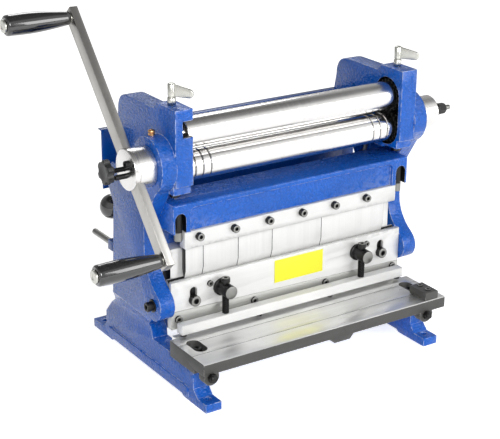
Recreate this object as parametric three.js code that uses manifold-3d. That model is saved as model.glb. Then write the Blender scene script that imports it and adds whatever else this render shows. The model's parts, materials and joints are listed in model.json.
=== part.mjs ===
// Bench slip roll with press brake and shear, twelve inch working width.
// Millimetres. X runs along the rolls, Y from the front to the rear, Z up from the bench.
import * as THREE from 'three';
import { mergeVertices } from 'three/addons/utils/BufferGeometryUtils.js';
import Module from 'manifold-3d';

const wasm = await Module();
wasm.setup();

// Shared clearances and cutting allowances.
const seatGap = 0.3;
const runGap = 0.6;
const overrun = 2;
const lap = 1;
const weld = 0.0005;

// Side frames: an outboard web, an inboard head for the rolls and a foot.
const headInner = 154.5;
const headThick = 23.5;
const webThick = 20;
const footThick = 22;
const footSetOut = 2.5;
const headOuter = headInner + headThick;
const webInner = headOuter - lap;
const webOuter = webInner + webThick;
const footInner = headInner + footSetOut;
const footOuter = footInner + footThick;

// How far each fitting stands out from the inner face of the heads, or of the webs.
const pastHead = { wing: 12.5, adjuster: 12.5, rearAdjuster: 11.5, coverScrew: 11.5, arch: 12.2 };
const pastWeb = { oilCup: 11, gaugeRod: 7 };
// How far each long piece stops short of the webs, and each fitting of the plate's end.
const shortOfWeb = { panel: 24, clampBar: 16.5, plate: 0.8, tower: 9, apronLeft: 27, apronRight: 1 };
const shortOfPlate = { die: 1.7, bladeScrew: 9.8, slot: 31.6, screw: 54.9, holdBar: 4.7, holdPost: 70.9 };

// Foot and lower wall of a side frame, front to rear and upward.
const foot = {
  front: -84, rear: 205, padHeight: 11, padLength: 52, archLift: 3, archSlope: 5,
  holeRadius: 4.5, holeInset: 14, wallFront: -55, wallRear: 160, wallSwell: 8, fillet: 9,
};
const plinth = { frontInset: 12, bottom: 4, top: 18, proud: 1.8, edge: 1 };
const ledgeTop = 46.8;
const wall = { notch: 44, leanTop: 90, leanRear: 113, cheekFront: 13 };
// Rings of the leaning wall, from the foot to the web, as shares of its height, lean and depths.
const leanShares = [
  { up: 0, out: 0, rear: 0, cheek: 0 },
  { up: 0.25, out: 0.04, rear: 0.22, cheek: 0 },
  { up: 0.5, out: 0.24, rear: 0.57, cheek: 0 },
  { up: 0.75, out: 0.64, rear: 0.85, cheek: 0.5 },
  { up: 1, out: 1, rear: 1, cheek: 1 },
];
const cheekFrom = 2;

// Web outline: the nose at the front, the waist, the ring round the crank and the rear edge.
const nose = { y: 9, z: 110, radius: 19.5, arcFrom: 122, arcTo: 270 };
const waist = { front: 27.5, low: 172, high: 209, frontReach: 22, noseReach: 16 };
const webRear = { low: 112, waist: 104, waistZ: 214, bump: 121, bumpZ: 240, topZ: 266, cornerRadius: 16 };
const ring = { radius: 35 };

// The crank axis and the three rolls, all along X.
const crankAxis = { y: 15, z: 287 };
const rollRadius = 18.5;
const rollNip = 4.2;
const upperAxis = { y: 12, z: 320.5 };
const lowerAxis = { y: upperAxis.y, z: upperAxis.z - 2 * rollRadius - rollNip };
const rearAxis = { y: 54, z: 284 };
const rearTravel = { down: 8, up: 12, leanShare: 0.25 };

// Head outline: the pillar in front and the rounded lobe behind it.
const head = {
  front: -17.7, pillarTop: 358, pillarRear: 26, stepRear: 33, lobeTop: 350, lobeRear: 121,
  lobeRadius: 26, rear: 130, rearZ: 280, bottom: 250, pillarBottom: 264.7,
  lugFront: -12, lugBottom: 253.6, lugRear: 16,
};
const gearPocket = { play: 2.5, depth: 10 };
const blockPocket = { depth: 12, halfWidth: 12, halfHeight: 14, play: 1.4 };
const endSlot = { low: 324, high: 344, depth: 13.5 };
const rearPocket = { halfWidth: 11, halfHeight: 12, depth: 20 };

// Roll ends.
const journalRadius = 9;
const rollEndGap = { front: 0.4, rear: 3 };
const rollEdge = 1;
const wireGroove = { pitch: 11, inset: 10.5, width: 2.4, depth: 1.1 };
const wireGrooveCount = 3;
const gear = { inset: 1, thick: 5.5, addendum: 0.9, dedendum: 2 };
const gearTeeth = 20;
const pitchRadius = (upperAxis.z - lowerAxis.z) / 2;
const gearTip = pitchRadius + gear.addendum;
const toothShare = 0.42;
const toothTipShare = 0.24;
const halfToothShare = 0.5;

// Crank hub, bar and grips on the left.
const hub = { radius: 25, length: 28.6, groove: 1, grooveWidth: 1.4, lip: 5.5, chamfer: 1.2 };
const shaft = { radius: 9, seat: 17 };
const crankBar = { thick: 10.5, width: 18.5, up: 213.5, down: 126, lip: 1.7, spindleInset: 10 };
const barAngle = THREE.MathUtils.degToRad(48.4);
const grip = { gap: 1.5, length: 82, near: 8.6, mid: 13, far: 12.4, edge: 2.5 };
const gripMidShare = 0.7;
const spindle = { radius: 4, capRadius: 8, capLength: 3.2 };
const star = { behind: 4.5, radius: 15, dip: 4, thick: 8, studRadius: 3, studLength: 19 };
const starPoints = 6;
const clampScrews = [
  { behind: -7.5, above: 9.5, radius: 4.2, length: 5.5, socket: 2 },
  { behind: -2, above: -6.5, radius: 3.2, length: 15, socket: 1.5 },
];

// Hub and stepped stud on the right.
const rightHub = { radius: 21.5, length: 32, chamfer: 1.5 };
const rightStud = { radius: 9, length: 14, hexRadius: 7.5, hexLength: 11.5, pinRadius: 3.2, pinLength: 10.4 };

// Front beam, finger clamp and fingers.
const beam = {
  front: -8.6, rear: 42, top: 239.2, bottom: 203, legFront: 14, legRear: 31, legBottom: 160, legSideGap: 2,
  panelHalf: webInner - shortOfWeb.panel, panelHigh: 233, panelCorner: 7, panelDepth: 4.5, edge: 1.2,
};
const beamArch = { x: headInner + pastHead.arch, halfWidth: 7.5, top: 228, depth: 14 };
const hanger = { radius: 5, bottom: 192 };
const clampBar = { half: webInner - shortOfWeb.clampBar, front: -7, height: 22, edge: 0.8 };
const fingerInches = [1, 2, 2, 3, 4];
const inch = 25.4;
const fingerSeam = 0.3;
const finger = { thick: 8, tipZ: 135.8, taper: 11, tipHalf: 0.6, topGap: 2.5 };
const clampScrew = { leftInset: 19.5, rightInset: 49.5, z: 194.5, radius: 5, length: 6.5, socket: 2.6 };
const clampScrewCount = 6;

// Ram: slotted plate, die block, raked blade and carrier.
const plateHalf = webInner - shortOfWeb.plate;
const plateFront = 0.3;
const plateThick = 4.7;
const plateTop = 137;
const dieHalf = plateHalf - shortOfPlate.die;
const plateLowLeft = 98.5;
const plateLowRight = 90.2;
const dieDepth = 10;
const dieBottom = 101;
const dieGroove = { halfWidth: 3.2, depth: 3.6 };
const carrierDepth = 20;
const carrierBottom = 100;
const towerWidth = 20;
const towerOuter = webInner - shortOfWeb.tower;
const towerInner = towerOuter - towerWidth;
const towerTop = 174;
const carrierLip = { bottom: 80, topGap: 0.6 };
const blade = { thick: 9.6, height: 23.4 };
const bladeScrew = {
  x: plateHalf - shortOfPlate.bladeScrew, leftZ: 87.6, rightZ: 84, radius: 5, proud: 2.6, socket: 2.4,
};
const bladeScrewShares = [-1, -1 / 3, 1 / 3, 1];
const plateSlot = { x: plateHalf - shortOfPlate.slot, halfWidth: 5, low: 106, high: 125.5 };
const guideScrew = { z: 108.8, radius: 6.8, proud: 7.1, socket: 3 };
const plateScrew = { x: plateHalf - shortOfPlate.screw, z: 125.5, radius: 3.9, proud: 3, socket: 1.6 };
const blankPlate = { left: -25, right: 50, low: 103, high: 133.5, thick: 0.8 };

// Sheet hold-down in front of the ram.
const holdBar = { half: plateHalf - shortOfPlate.holdBar, front: -17, size: 12, bottom: 73.5, height: 12.5 };
const holdPost = {
  x: plateHalf - shortOfPlate.holdPost, z: 117.6, front: -25, radius: 8.6, flange: 11, flangeThick: 4,
};
const holdStud = { radius: 4.4, headRadius: 5.6, headLength: 6, headGap: 1.3, socket: 2.4 };
const holdPad = { radius: 4, height: 3.8, endInset: 5.5 };

// Table, its blade, screws and side stop.
const tableOver = 5.5;
const table = {
  half: footOuter + tableOver, front: -89, rear: -10, thick: 15.2, railDepth: 5.8, railFront: -66, edge: 0.8,
  scribe: 0.5, scribeWidth: 0.8,
};
const tableTop = ledgeTop + seatGap + table.railDepth + table.thick;
const tableSlot = { endInset: 19.9, y: -40, radius: 8.6, halfLength: 17, depth: 8 };
const tableScrew = { radius: 6.6, socket: 3.2, length: 6 };
const lowerBlade = { endGap: 0.2, depth: 9.7 };
const scribeLines = [-62, -30];
const tableLug = { leftInset: 10.5, rightInset: 30.5, radius: 10.5, depth: 12, drop: 3.4 };
const tableBolt = { radius: 3.2, ahead: 8, behind: 8, nutRadius: 6, nutThick: 4.5 };
const middleLug = { x: 18, half: 12, slope: 6, depth: 20, drop: 6 };
const stop = { endInset: 11.5, width: 21, frontInset: 0.8, length: 32.5, height: 11, edge: 0.8 };
const stopScrew = { radius: 4, socket: 2, spread: 8, length: 1.6 };
const bed = { front: -60, rear: -1, bottom: 18, flange: 10, wall: 11 };
const rearTie = { front: 120, rear: 140, bottom: 14, top: 44 };

// Rear cover, gauge and lever.
const cover = {
  thick: 1.5, bottom: 223, top: 300, flange: 9, apronBottom: 178,
  apron: [shortOfWeb.apronLeft - webInner, webInner - shortOfWeb.apronRight],
};
const coverScrew = { x: headInner + pastHead.coverScrew, z: 262, radius: 4.5, proud: 3, socket: 2 };
const gaugeRod = { x: webInner + pastWeb.gaugeRod, z: 146, radius: 4, rear: 184, seat: 14 };
const gaugeBar = { y: 129, size: 13, over: 6 };
const gaugeSleeve = { radius: 6, length: 9 };
const lever = {
  y: 94, z: 206, hubRadius: 9, hubThick: 12, armRadius: 3.5, ballY: 158, ballZ: 186, ballRadius: 16.5,
  pinRadius: 4, pinDepth: 10,
};

// Small screws on the frames.
const wing = {
  x: headInner + pastHead.wing, y: 9, stem: 3.6, collar: 5, rise: 26, collarRise: 9,
  length: 28, width: 16, tipRadius: 5.5, thick: 3,
};
const wingTurn = THREE.MathUtils.degToRad(-55);
const adjuster = { x: headInner + pastHead.adjuster, y: 4, radius: 3, hexRadius: 6.5, hexHeight: 5, gap: 2 };
const rearAdjuster = {
  x: headInner + pastHead.rearAdjuster, radius: 3, hexRadius: 7.5, hexHeight: 9, reach: 48,
};
const oilCup = { x: webInner + pastWeb.oilCup, y: 20, radius: 3.6, lip: 4.4, height: 7, shoulder: 3 };
const noseScrew = { radius: 6, proud: 8, socket: 3, shank: 4 };

// Facets round a circle.
const fineSides = 32;
const plainSides = 20;
const smallSides = 12;
const hexSides = 6;
const waistSteps = 6;
const noseSteps = 9;
const gripSteps = 8;
const starSteps = 6;

// Shape of a cap screw head: its rounded edge and the depth of its socket.
const capEdgeShare = 0.16;
const socketDepthShare = 0.55;

// Building blocks.
const outward = (geometry) => {
  geometry.deleteAttribute('normal');
  geometry.deleteAttribute('uv');
  const merged = mergeVertices(geometry, weld);
  const place = merged.attributes.position;
  const kept = [];
  let volume = 0;
  const corner = [new THREE.Vector3(), new THREE.Vector3(), new THREE.Vector3()];
  for (let i = 0; i < merged.index.count; i += 3) {
    const face = [0, 1, 2].map((k) => merged.index.getX(i + k));
    if (face[0] === face[1] || face[1] === face[2] || face[2] === face[0]) continue;
    face.forEach((v, k) => corner[k].fromBufferAttribute(place, v));
    volume += corner[0].dot(corner[1].clone().cross(corner[2]));
    kept.push(face);
  }
  const turned = volume < 0 ? kept.map(([a, b, c]) => [a, c, b]) : kept;
  merged.setIndex(turned.flat());
  return merged;
};

const solidOf = (geometry) => {
  const closed = outward(geometry);
  return new wasm.Manifold(new wasm.Mesh({
    numProp: 3,
    vertProperties: new Float32Array(closed.attributes.position.array),
    triVerts: new Uint32Array(closed.index.array),
  }));
};

const geometryOf = (solid) => {
  const mesh = solid.getMesh();
  const geometry = new THREE.BufferGeometry();
  geometry.setAttribute('position', new THREE.BufferAttribute(new Float32Array(mesh.vertProperties), 3));
  geometry.setIndex(new THREE.BufferAttribute(new Uint32Array(mesh.triVerts), 1));
  return geometry;
};

const joined = (...pieces) => geometryOf(pieces.map(solidOf).reduce((a, b) => a.add(b)));
const carved = (body, ...tools) =>
  geometryOf(tools.map(solidOf).reduce((a, b) => a.subtract(b), solidOf(body)));

const block = (x, y, z) => {
  const size = [x, y, z].map(([a, b]) => Math.abs(b - a));
  const middle = [x, y, z].map(([a, b]) => (a + b) / 2);
  return new THREE.BoxGeometry(...size).translate(...middle);
};

const turned = (axis, profile, centre, sides = plainSides) => {
  const points = profile.map(([radius, along]) => new THREE.Vector2(radius, along));
  const geometry = new THREE.LatheGeometry(points, sides);
  if (axis === 'x') geometry.rotateZ(-Math.PI / 2);
  if (axis === 'z') geometry.rotateX(Math.PI / 2);
  return geometry.translate(centre.x ?? 0, centre.y ?? 0, centre.z ?? 0);
};

const rod = (axis, radius, [from, to], centre, sides = plainSides) =>
  turned(axis, [[0, from], [radius, from], [radius, to], [0, to]], centre, sides);

const shapeOf = (points) => new THREE.Shape(points.map(([a, b]) => new THREE.Vector2(a, b)));

const plate = (axis, outline, [from, to], edge = 0, curveSegments = 10) => {
  const low = Math.min(from, to);
  const depth = Math.abs(to - from);
  const shape = Array.isArray(outline) ? shapeOf(outline) : outline;
  const geometry = new THREE.ExtrudeGeometry(shape, {
    depth: depth - 2 * edge,
    bevelEnabled: edge > 0,
    bevelThickness: edge,
    bevelSize: edge,
    bevelOffset: -edge,
    bevelSegments: 1,
    curveSegments,
  });
  geometry.translate(0, 0, edge);
  if (axis === 'x') {
    geometry.applyMatrix4(new THREE.Matrix4().set(0, 0, 1, low, 1, 0, 0, 0, 0, 1, 0, 0, 0, 0, 0, 1));
  }
  if (axis === 'y') geometry.rotateX(Math.PI / 2).translate(0, low + depth, 0);
  if (axis === 'z') geometry.translate(0, 0, low);
  return geometry;
};

const arcPoints = (centre, radius, from, to, steps) =>
  Array.from({ length: steps + 1 }, (unused, i) => {
    const angle = THREE.MathUtils.degToRad(from + ((to - from) * i) / steps);
    return [centre.y + radius * Math.cos(angle), centre.z + radius * Math.sin(angle)];
  });

// A closed body through rings of equally many corners, stacked along their order.
const lofted = (rings) => {
  const count = rings[0].length;
  const places = rings.flat(2);
  const faces = [];
  for (let r = 0; r + 1 < rings.length; r += 1) {
    for (let i = 0; i < count; i += 1) {
      const a = r * count + i;
      const b = r * count + ((i + 1) % count);
      faces.push(a, b, b + count, a, b + count, a + count);
    }
  }
  const last = (rings.length - 1) * count;
  for (let i = 1; i + 1 < count; i += 1) {
    faces.push(0, i + 1, i, last, last + i, last + i + 1);
  }
  const geometry = new THREE.BufferGeometry();
  geometry.setAttribute('position', new THREE.Float32BufferAttribute(places, 3));
  geometry.setIndex(faces);
  return geometry;
};

// A cap screw head with a hexagon socket; it stands out from its seat and is let into it a little.
const capHead = (axis, way, radius, seat, length, socket, centre) => {
  const top = seat + way * length;
  const root = seat - way * lap;
  const edge = radius * capEdgeShare;
  const body = turned(axis, [
    [0, root], [radius, root], [radius, top - way * edge], [radius - edge, top], [0, top],
  ], centre, smallSides);
  const bottom = top - way * length * socketDepthShare;
  const hollow = rod(axis, socket, [bottom, top + way * overrun], centre, hexSides);
  return carved(body, hollow);
};

const sides = [-1, 1];
const sideName = (side) => (side < 0 ? 'left' : 'right');
const spread = (side, a, b) => [side * a, side * b];
const part = new THREE.Group();
const node = (name, geometry, finish) => {
  const mesh = new THREE.Mesh(geometryOf(solidOf(geometry)), finish());
  mesh.name = name;
  part.add(mesh);
};

// Finishes.
const material = (color, metalness, roughness) => () =>
  new THREE.MeshStandardMaterial({ color, metalness, roughness });
const hammeredBlue = material('#1f47b8', 0.15, 0.45);
const sheetBlue = material('#16348f', 0.1, 0.4);
const groundSteel = material('#c9ccd0', 0.9, 0.3);
const polishedSteel = material('#d7d9dc', 0.95, 0.18);
const blackOxide = material('#1b1c1e', 0.5, 0.45);
const castGrey = material('#55575a', 0.3, 0.6);
const blackPlastic = material('#0e0e10', 0.0, 0.2);
const brass = material('#b06a2b', 0.8, 0.35);
const yellowPlate = material('#f6e64a', 0.0, 0.5);

// Side frames.
const footOutline = () => {
  const rearPad = foot.rear - foot.padLength;
  const frontPad = foot.front + foot.padLength;
  const swellRear = foot.wallRear + foot.wallSwell;
  return [
    [foot.front, 0], [frontPad, 0], [frontPad + foot.archSlope, foot.archLift],
    [rearPad - foot.archSlope, foot.archLift], [rearPad, 0], [foot.rear, 0], [foot.rear, foot.padHeight],
    [swellRear + foot.fillet, foot.padHeight], [swellRear, foot.padHeight + foot.fillet],
    [swellRear, ledgeTop - foot.fillet], [foot.wallRear, ledgeTop], [foot.wallFront, ledgeTop],
    [foot.wallFront, foot.padHeight + foot.fillet], [foot.wallFront - foot.fillet, foot.padHeight],
    [foot.front, foot.padHeight],
  ];
};

// The front edge sweeps from the waist down into the round of the nose.
const waistPoints = () => {
  const from = THREE.MathUtils.degToRad(nose.arcFrom);
  const noseCentre = new THREE.Vector2(nose.y, nose.z);
  const sweepEnd = noseCentre.addScaledVector(new THREE.Vector2(Math.cos(from), Math.sin(from)), nose.radius);
  const tangent = new THREE.Vector2(Math.sin(from), -Math.cos(from));
  const curve = new THREE.CubicBezierCurve(
    new THREE.Vector2(waist.front, waist.low),
    new THREE.Vector2(waist.front, waist.low - waist.frontReach),
    sweepEnd.clone().addScaledVector(tangent, waist.noseReach),
    sweepEnd,
  );
  return curve.getPoints(waistSteps).slice(0, waistSteps).map((point) => [point.x, point.y]);
};

const webOutline = () => [
  [webRear.low, wall.leanTop],
  [webRear.waist, webRear.waistZ],
  [webRear.bump, webRear.bumpZ],
  [webRear.bump, webRear.topZ - webRear.cornerRadius],
  [webRear.bump - webRear.cornerRadius, webRear.topZ],
  [crankAxis.y, webRear.topZ],
  [crankAxis.y - ring.radius * Math.cos(Math.PI / 6), crankAxis.z - ring.radius / 2],
  [crankAxis.y - ring.radius / 2, crankAxis.z - ring.radius * Math.cos(Math.PI / 6)],
  [(crankAxis.y - ring.radius / 2 + waist.front) / 2, (webRear.waistZ + crankAxis.z - ring.radius) / 2],
  [waist.front, waist.high],
  ...waistPoints(),
  ...arcPoints(nose, nose.radius, nose.arcFrom, nose.arcTo, noseSteps),
  [wall.notch, nose.z - nose.radius],
];

const headOutline = () => {
  const shape = new THREE.Shape();
  shape.moveTo(head.front, head.pillarBottom);
  shape.lineTo(head.lugFront, head.pillarBottom);
  shape.lineTo(head.lugFront, head.lugBottom);
  shape.lineTo(head.lugRear, head.lugBottom);
  shape.lineTo(head.lugRear, head.bottom);
  shape.lineTo(head.rear, head.bottom);
  shape.lineTo(head.rear, head.rearZ);
  shape.lineTo(head.lobeRear, head.lobeTop - head.lobeRadius);
  shape.quadraticCurveTo(head.lobeRear, head.lobeTop, head.lobeRear - head.lobeRadius, head.lobeTop);
  shape.lineTo(head.stepRear, head.lobeTop);
  shape.lineTo(head.pillarRear, head.pillarTop);
  shape.lineTo(head.front, head.pillarTop);
  return shape;
};

// The wall that leans out from the foot to the web, and its cheek, which runs on under the nose.
const leaningRing = (side, inner, front, rear, share, lift = 0) => {
  const outer = footOuter + (webOuter - footOuter) * share.out;
  const z = ledgeTop + (wall.leanTop - ledgeTop) * share.up + lift;
  const [left, right] = side < 0 ? [-outer, -inner] : [inner, outer];
  return [[left, front, z], [right, front, z], [right, rear, z], [left, rear, z]];
};
const leaningWall = (side) => {
  const ringAt = (share, lift) => leaningRing(side, footInner + (webInner - footInner) * share.out,
    wall.notch, foot.wallRear + (wall.leanRear - foot.wallRear) * share.rear, share, lift);
  const [first, last] = [leanShares[0], leanShares[leanShares.length - 1]];
  return lofted([ringAt(first, -lap), ...leanShares.map((share) => ringAt(share)), ringAt(last, lap)]);
};
const cheek = (side) => {
  const ringAt = (share, lift) => leaningRing(side, webInner,
    wall.notch + (wall.cheekFront - wall.notch) * share.cheek, wall.notch + foot.fillet, share, lift);
  const shares = leanShares.slice(cheekFrom);
  return lofted([...shares.map((share) => ringAt(share)), ringAt(shares[shares.length - 1], lap)]);
};
const footPlinth = (side) => {
  const front = foot.wallFront + plinth.frontInset;
  return plate('x', [
    [front, plinth.bottom], [foot.wallRear, plinth.bottom], [foot.wallRear, plinth.top], [front, plinth.top],
  ], spread(side, footOuter - plinth.edge, footOuter + plinth.proud), plinth.edge);
};

const pillPocket = (side, low, high, radius, depth) => {
  const shape = new THREE.Shape();
  shape.absarc(high.y, high.z, radius, 0, Math.PI, false);
  shape.absarc(low.y, low.z, radius, Math.PI, 2 * Math.PI, false);
  return plate('x', shape, spread(side, headInner - overrun, headInner + depth), 0, plainSides / 2);
};

const blockRoom = (side, axis, halfWidth, halfHeight, down, up, depth) => block(
  spread(side, headInner + gearPocket.depth - overrun, headInner + gearPocket.depth + depth),
  [axis.y - halfWidth, axis.y + halfWidth],
  [axis.z - halfHeight - down, axis.z + halfHeight + up],
);

const rearLean = Math.atan(rearTravel.leanShare);
const rearSlide = { y: -Math.sin(rearLean), z: Math.cos(rearLean) };

// A box in the plane of the rear roll's slide, turned with it.
const rearTurned = (side, inner, outer, halfWidth, low, high) => {
  const piece = block(spread(side, inner, outer), [-halfWidth, halfWidth], [low, high]);
  return piece.rotateX(rearLean).translate(0, rearAxis.y, rearAxis.z);
};

const rearAdjusterFoot = {
  y: rearAxis.y - rearSlide.y * rearPocket.halfHeight,
  z: rearAxis.z - rearSlide.z * rearPocket.halfHeight,
};
const rearAdjusterBore = (side) => {
  const bore = rod('z', rearAdjuster.radius + runGap, [-rearAdjuster.reach, 0], { x: side * rearAdjuster.x });
  return bore.rotateX(rearLean).translate(0, rearAdjusterFoot.y, rearAdjusterFoot.z);
};

const sideFrame = (side) => {
  const xFoot = spread(side, footInner, footOuter);
  const xWeb = spread(side, webInner, webOuter);
  const xHead = spread(side, headInner, headOuter);
  const body = joined(
    plate('x', footOutline(), xFoot),
    footPlinth(side),
    leaningWall(side),
    cheek(side),
    plate('x', webOutline(), xWeb),
    rod('x', ring.radius, xWeb, crankAxis, fineSides),
    plate('x', headOutline(), xHead, 0, 8),
  );
  const padHole = (y) => rod('z', foot.holeRadius, [-overrun, foot.padHeight + overrun],
    { x: side * (footInner + footOuter) / 2, y }, smallSides);
  const cuts = [
    padHole(foot.front + foot.holeInset),
    padHole(foot.rear - foot.holeInset),
    pillPocket(side, lowerAxis, upperAxis, gearTip + gearPocket.play, gearPocket.depth),
    blockRoom(side, lowerAxis, blockPocket.halfWidth + seatGap, blockPocket.halfHeight, blockPocket.play,
      blockPocket.play, blockPocket.depth),
    blockRoom(side, upperAxis, blockPocket.halfWidth + seatGap, blockPocket.halfHeight, seatGap,
      seatGap, blockPocket.depth),
    rearTurned(side, headInner - overrun, headInner + rearPocket.depth, rearPocket.halfWidth + seatGap,
      -rearPocket.halfHeight - rearTravel.down - seatGap, rearPocket.halfHeight + rearTravel.up + seatGap),
    rod('x', shaft.radius + runGap, spread(side, webOuter - shaft.seat, webOuter + overrun), crankAxis),
    rod('z', adjuster.radius + runGap, [head.lugBottom - overrun, lowerAxis.z],
      { x: side * adjuster.x, y: adjuster.y }, smallSides),
    rod('z', wing.stem + runGap, [upperAxis.z, head.pillarTop + overrun],
      { x: side * wing.x, y: wing.y }, smallSides),
    rearAdjusterBore(side),
    rod('x', noseScrew.shank + seatGap, spread(side, webInner - overrun, webOuter + overrun),
      nose, smallSides),
    rod('y', gaugeRod.radius + seatGap, [webRear.waist - gaugeRod.seat, webRear.bump + overrun],
      { x: side * gaugeRod.x, z: gaugeRod.z }, smallSides),
  ];
  if (side < 0) {
    cuts.push(rod('x', lever.pinRadius + seatGap,
      spread(side, webInner - overrun, webInner + lever.pinDepth + seatGap), lever, smallSides));
    cuts.push(block(spread(side, headInner - overrun, headInner + endSlot.depth),
      [head.front - overrun, upperAxis.y], [endSlot.low, endSlot.high]));
  }
  return carved(body, ...cuts);
};

node('left_side_frame', sideFrame(-1), hammeredBlue);
node('right_side_frame', sideFrame(1), hammeredBlue);

// Bed, tie and front beam between the side frames.
const tableBottom = tableTop - table.thick;
const railBottom = ledgeTop + seatGap;
const betweenFeet = [-footInner + seatGap, footInner - seatGap];

const bedCasting = () => plate('x', [
  [bed.front, tableBottom - seatGap - bed.flange],
  [bed.rear - bed.wall, tableBottom - seatGap - bed.flange],
  [bed.rear - bed.wall, bed.bottom], [bed.rear, bed.bottom],
  [bed.rear, railBottom - seatGap], [table.rear - seatGap, railBottom - seatGap],
  [table.rear - seatGap, tableBottom - seatGap], [bed.front, tableBottom - seatGap],
], betweenFeet);
node('bed_casting', bedCasting(), hammeredBlue);
const tieBar = block(betweenFeet, [rearTie.front, rearTie.rear], [rearTie.bottom, rearTie.top]);
node('rear_tie', tieBar, hammeredBlue);

const beamHalf = webInner - seatGap;
const plateRear = plateFront + plateThick;
const dieFront = plateRear + seatGap;
const dieRear = dieFront + dieDepth;
const carrierFront = dieRear + seatGap;
const carrierRear = carrierFront + carrierDepth;
const frontBeam = () => {
  const section = [
    [beam.front, beam.bottom], [beam.legFront, beam.bottom], [beam.legFront, beam.bottom - seatGap],
    [beam.rear, beam.bottom - seatGap], [beam.rear, beam.top], [beam.front + beam.edge, beam.top],
    [beam.front, beam.top - beam.edge],
  ];
  const legHalf = towerInner - beam.legSideGap;
  const leg = block([-legHalf, legHalf], [beam.legFront, beam.legRear], [beam.legBottom, beam.bottom]);
  const lip = block([-towerOuter, towerOuter], [carrierRear + runGap, beam.rear],
    [beam.legBottom, beam.bottom]);
  const body = joined(plate('x', section, [-beamHalf, beamHalf]), leg, lip);
  const arch = (side) => {
    const shape = new THREE.Shape();
    shape.moveTo(side * beamArch.x - beamArch.halfWidth, beam.bottom - overrun);
    shape.lineTo(side * beamArch.x + beamArch.halfWidth, beam.bottom - overrun);
    shape.lineTo(side * beamArch.x + beamArch.halfWidth, beamArch.top - beamArch.halfWidth);
    shape.absarc(side * beamArch.x, beamArch.top - beamArch.halfWidth, beamArch.halfWidth, 0, Math.PI, false);
    return plate('y', shape, [beam.front - overrun, beam.front + beamArch.depth], 0, smallSides / 2);
  };
  const corner = beam.panelHalf - beam.panelCorner;
  const panel = new THREE.Shape();
  panel.moveTo(-beam.panelHalf, beam.bottom - overrun);
  panel.lineTo(beam.panelHalf, beam.bottom - overrun);
  panel.absarc(corner, beam.panelHigh - beam.panelCorner, beam.panelCorner, 0, Math.PI / 2, false);
  panel.absarc(-corner, beam.panelHigh - beam.panelCorner, beam.panelCorner, Math.PI / 2, Math.PI, false);
  const recess = plate('y', panel, [beam.front - overrun, beam.front + beam.panelDepth], 0, smallSides / 2);
  const bolt = (side) => rod('z', hanger.radius, [hanger.bottom, beamArch.top + lap], {
    x: side * beamArch.x, y: beam.front + beamArch.depth / 2,
  }, smallSides);
  return joined(carved(body, arch(-1), arch(1), recess), bolt(-1), bolt(1));
};
node('front_beam', frontBeam(), hammeredBlue);

// Finger clamp bar, fingers and the clamp screws.
const fingerRear = beam.legFront - seatGap;
const fingerFront = fingerRear - finger.thick;
const fingerMiddle = (fingerFront + fingerRear) / 2;
const clampTop = beam.bottom - runGap;
const clampPitch = (2 * clampBar.half - clampScrew.leftInset - clampScrew.rightInset) / (clampScrewCount - 1);
const clampScrewAt = (i) => capHead('y', -1, clampScrew.radius, clampBar.front, clampScrew.length,
  clampScrew.socket, { x: clampScrew.leftInset - clampBar.half + i * clampPitch, z: clampScrew.z });
const clampScrewList = () => Array.from({ length: clampScrewCount }, (unused, i) => clampScrewAt(i));
const clampBarBody = plate('z', shapeOf([
  [-clampBar.half, clampBar.front], [clampBar.half, clampBar.front],
  [clampBar.half, fingerFront - seatGap], [-clampBar.half, fingerFront - seatGap],
]), [clampTop - clampBar.height, clampTop], clampBar.edge);
node('finger_clamp_bar', joined(clampBarBody, ...clampScrewList()), groundSteel);

const fingerSection = () => [
  [fingerFront, beam.bottom - finger.topGap], [fingerFront, finger.tipZ + finger.taper],
  [fingerMiddle - finger.tipHalf, finger.tipZ], [fingerMiddle + finger.tipHalf, finger.tipZ],
  [fingerRear, finger.tipZ + finger.taper], [fingerRear, beam.bottom - finger.topGap],
];
const fingersWide = fingerInches.reduce((a, b) => a + b) * inch;
let fingerLeft = -fingersWide / 2;
fingerInches.forEach((inches, i) => {
  const right = fingerLeft + inches * inch;
  node(`finger_${i + 1}`, plate('x', fingerSection(), [fingerLeft, right - fingerSeam]), groundSteel);
  fingerLeft = right;
});

// Ram: slotted plate, die, raked blade, carrier and their screws.
const rakedPlate = () => plate('y', [
  [-plateHalf, plateLowLeft], [plateHalf, plateLowRight], [plateHalf, plateTop], [-plateHalf, plateTop],
], [plateFront, plateRear]);
const obround = (x, low, high, half) => {
  const shape = new THREE.Shape();
  shape.absarc(x, high - half, half, 0, Math.PI, false);
  shape.absarc(x, low + half, half, Math.PI, 2 * Math.PI, false);
  return shape;
};
const plateScrewAt = (screw) => (side) => capHead('y', -1, screw.radius, plateFront, screw.proud,
  screw.socket, { x: side * screw.x, z: screw.z });
const slottedPlate = () => joined(
  carved(rakedPlate(), ...sides.map((side) => plate('y',
    obround(side * plateSlot.x, plateSlot.low, plateSlot.high, plateSlot.halfWidth),
    [plateFront - overrun, plateRear + overrun], 0, smallSides / 2))),
  ...sides.map(plateScrewAt({ ...guideScrew, x: plateSlot.x })),
  ...sides.map(plateScrewAt(plateScrew)),
);
node('slotted_plate', slottedPlate(), groundSteel);

const dieBlock = () => plate('x', [
  [dieFront, dieBottom], [dieRear, dieBottom], [dieRear, plateTop],
  [fingerMiddle + dieGroove.halfWidth, plateTop], [fingerMiddle, plateTop - dieGroove.depth],
  [fingerMiddle - dieGroove.halfWidth, plateTop], [dieFront, plateTop],
], [-dieHalf, dieHalf]);
node('v_die', dieBlock(), polishedSteel);

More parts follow.
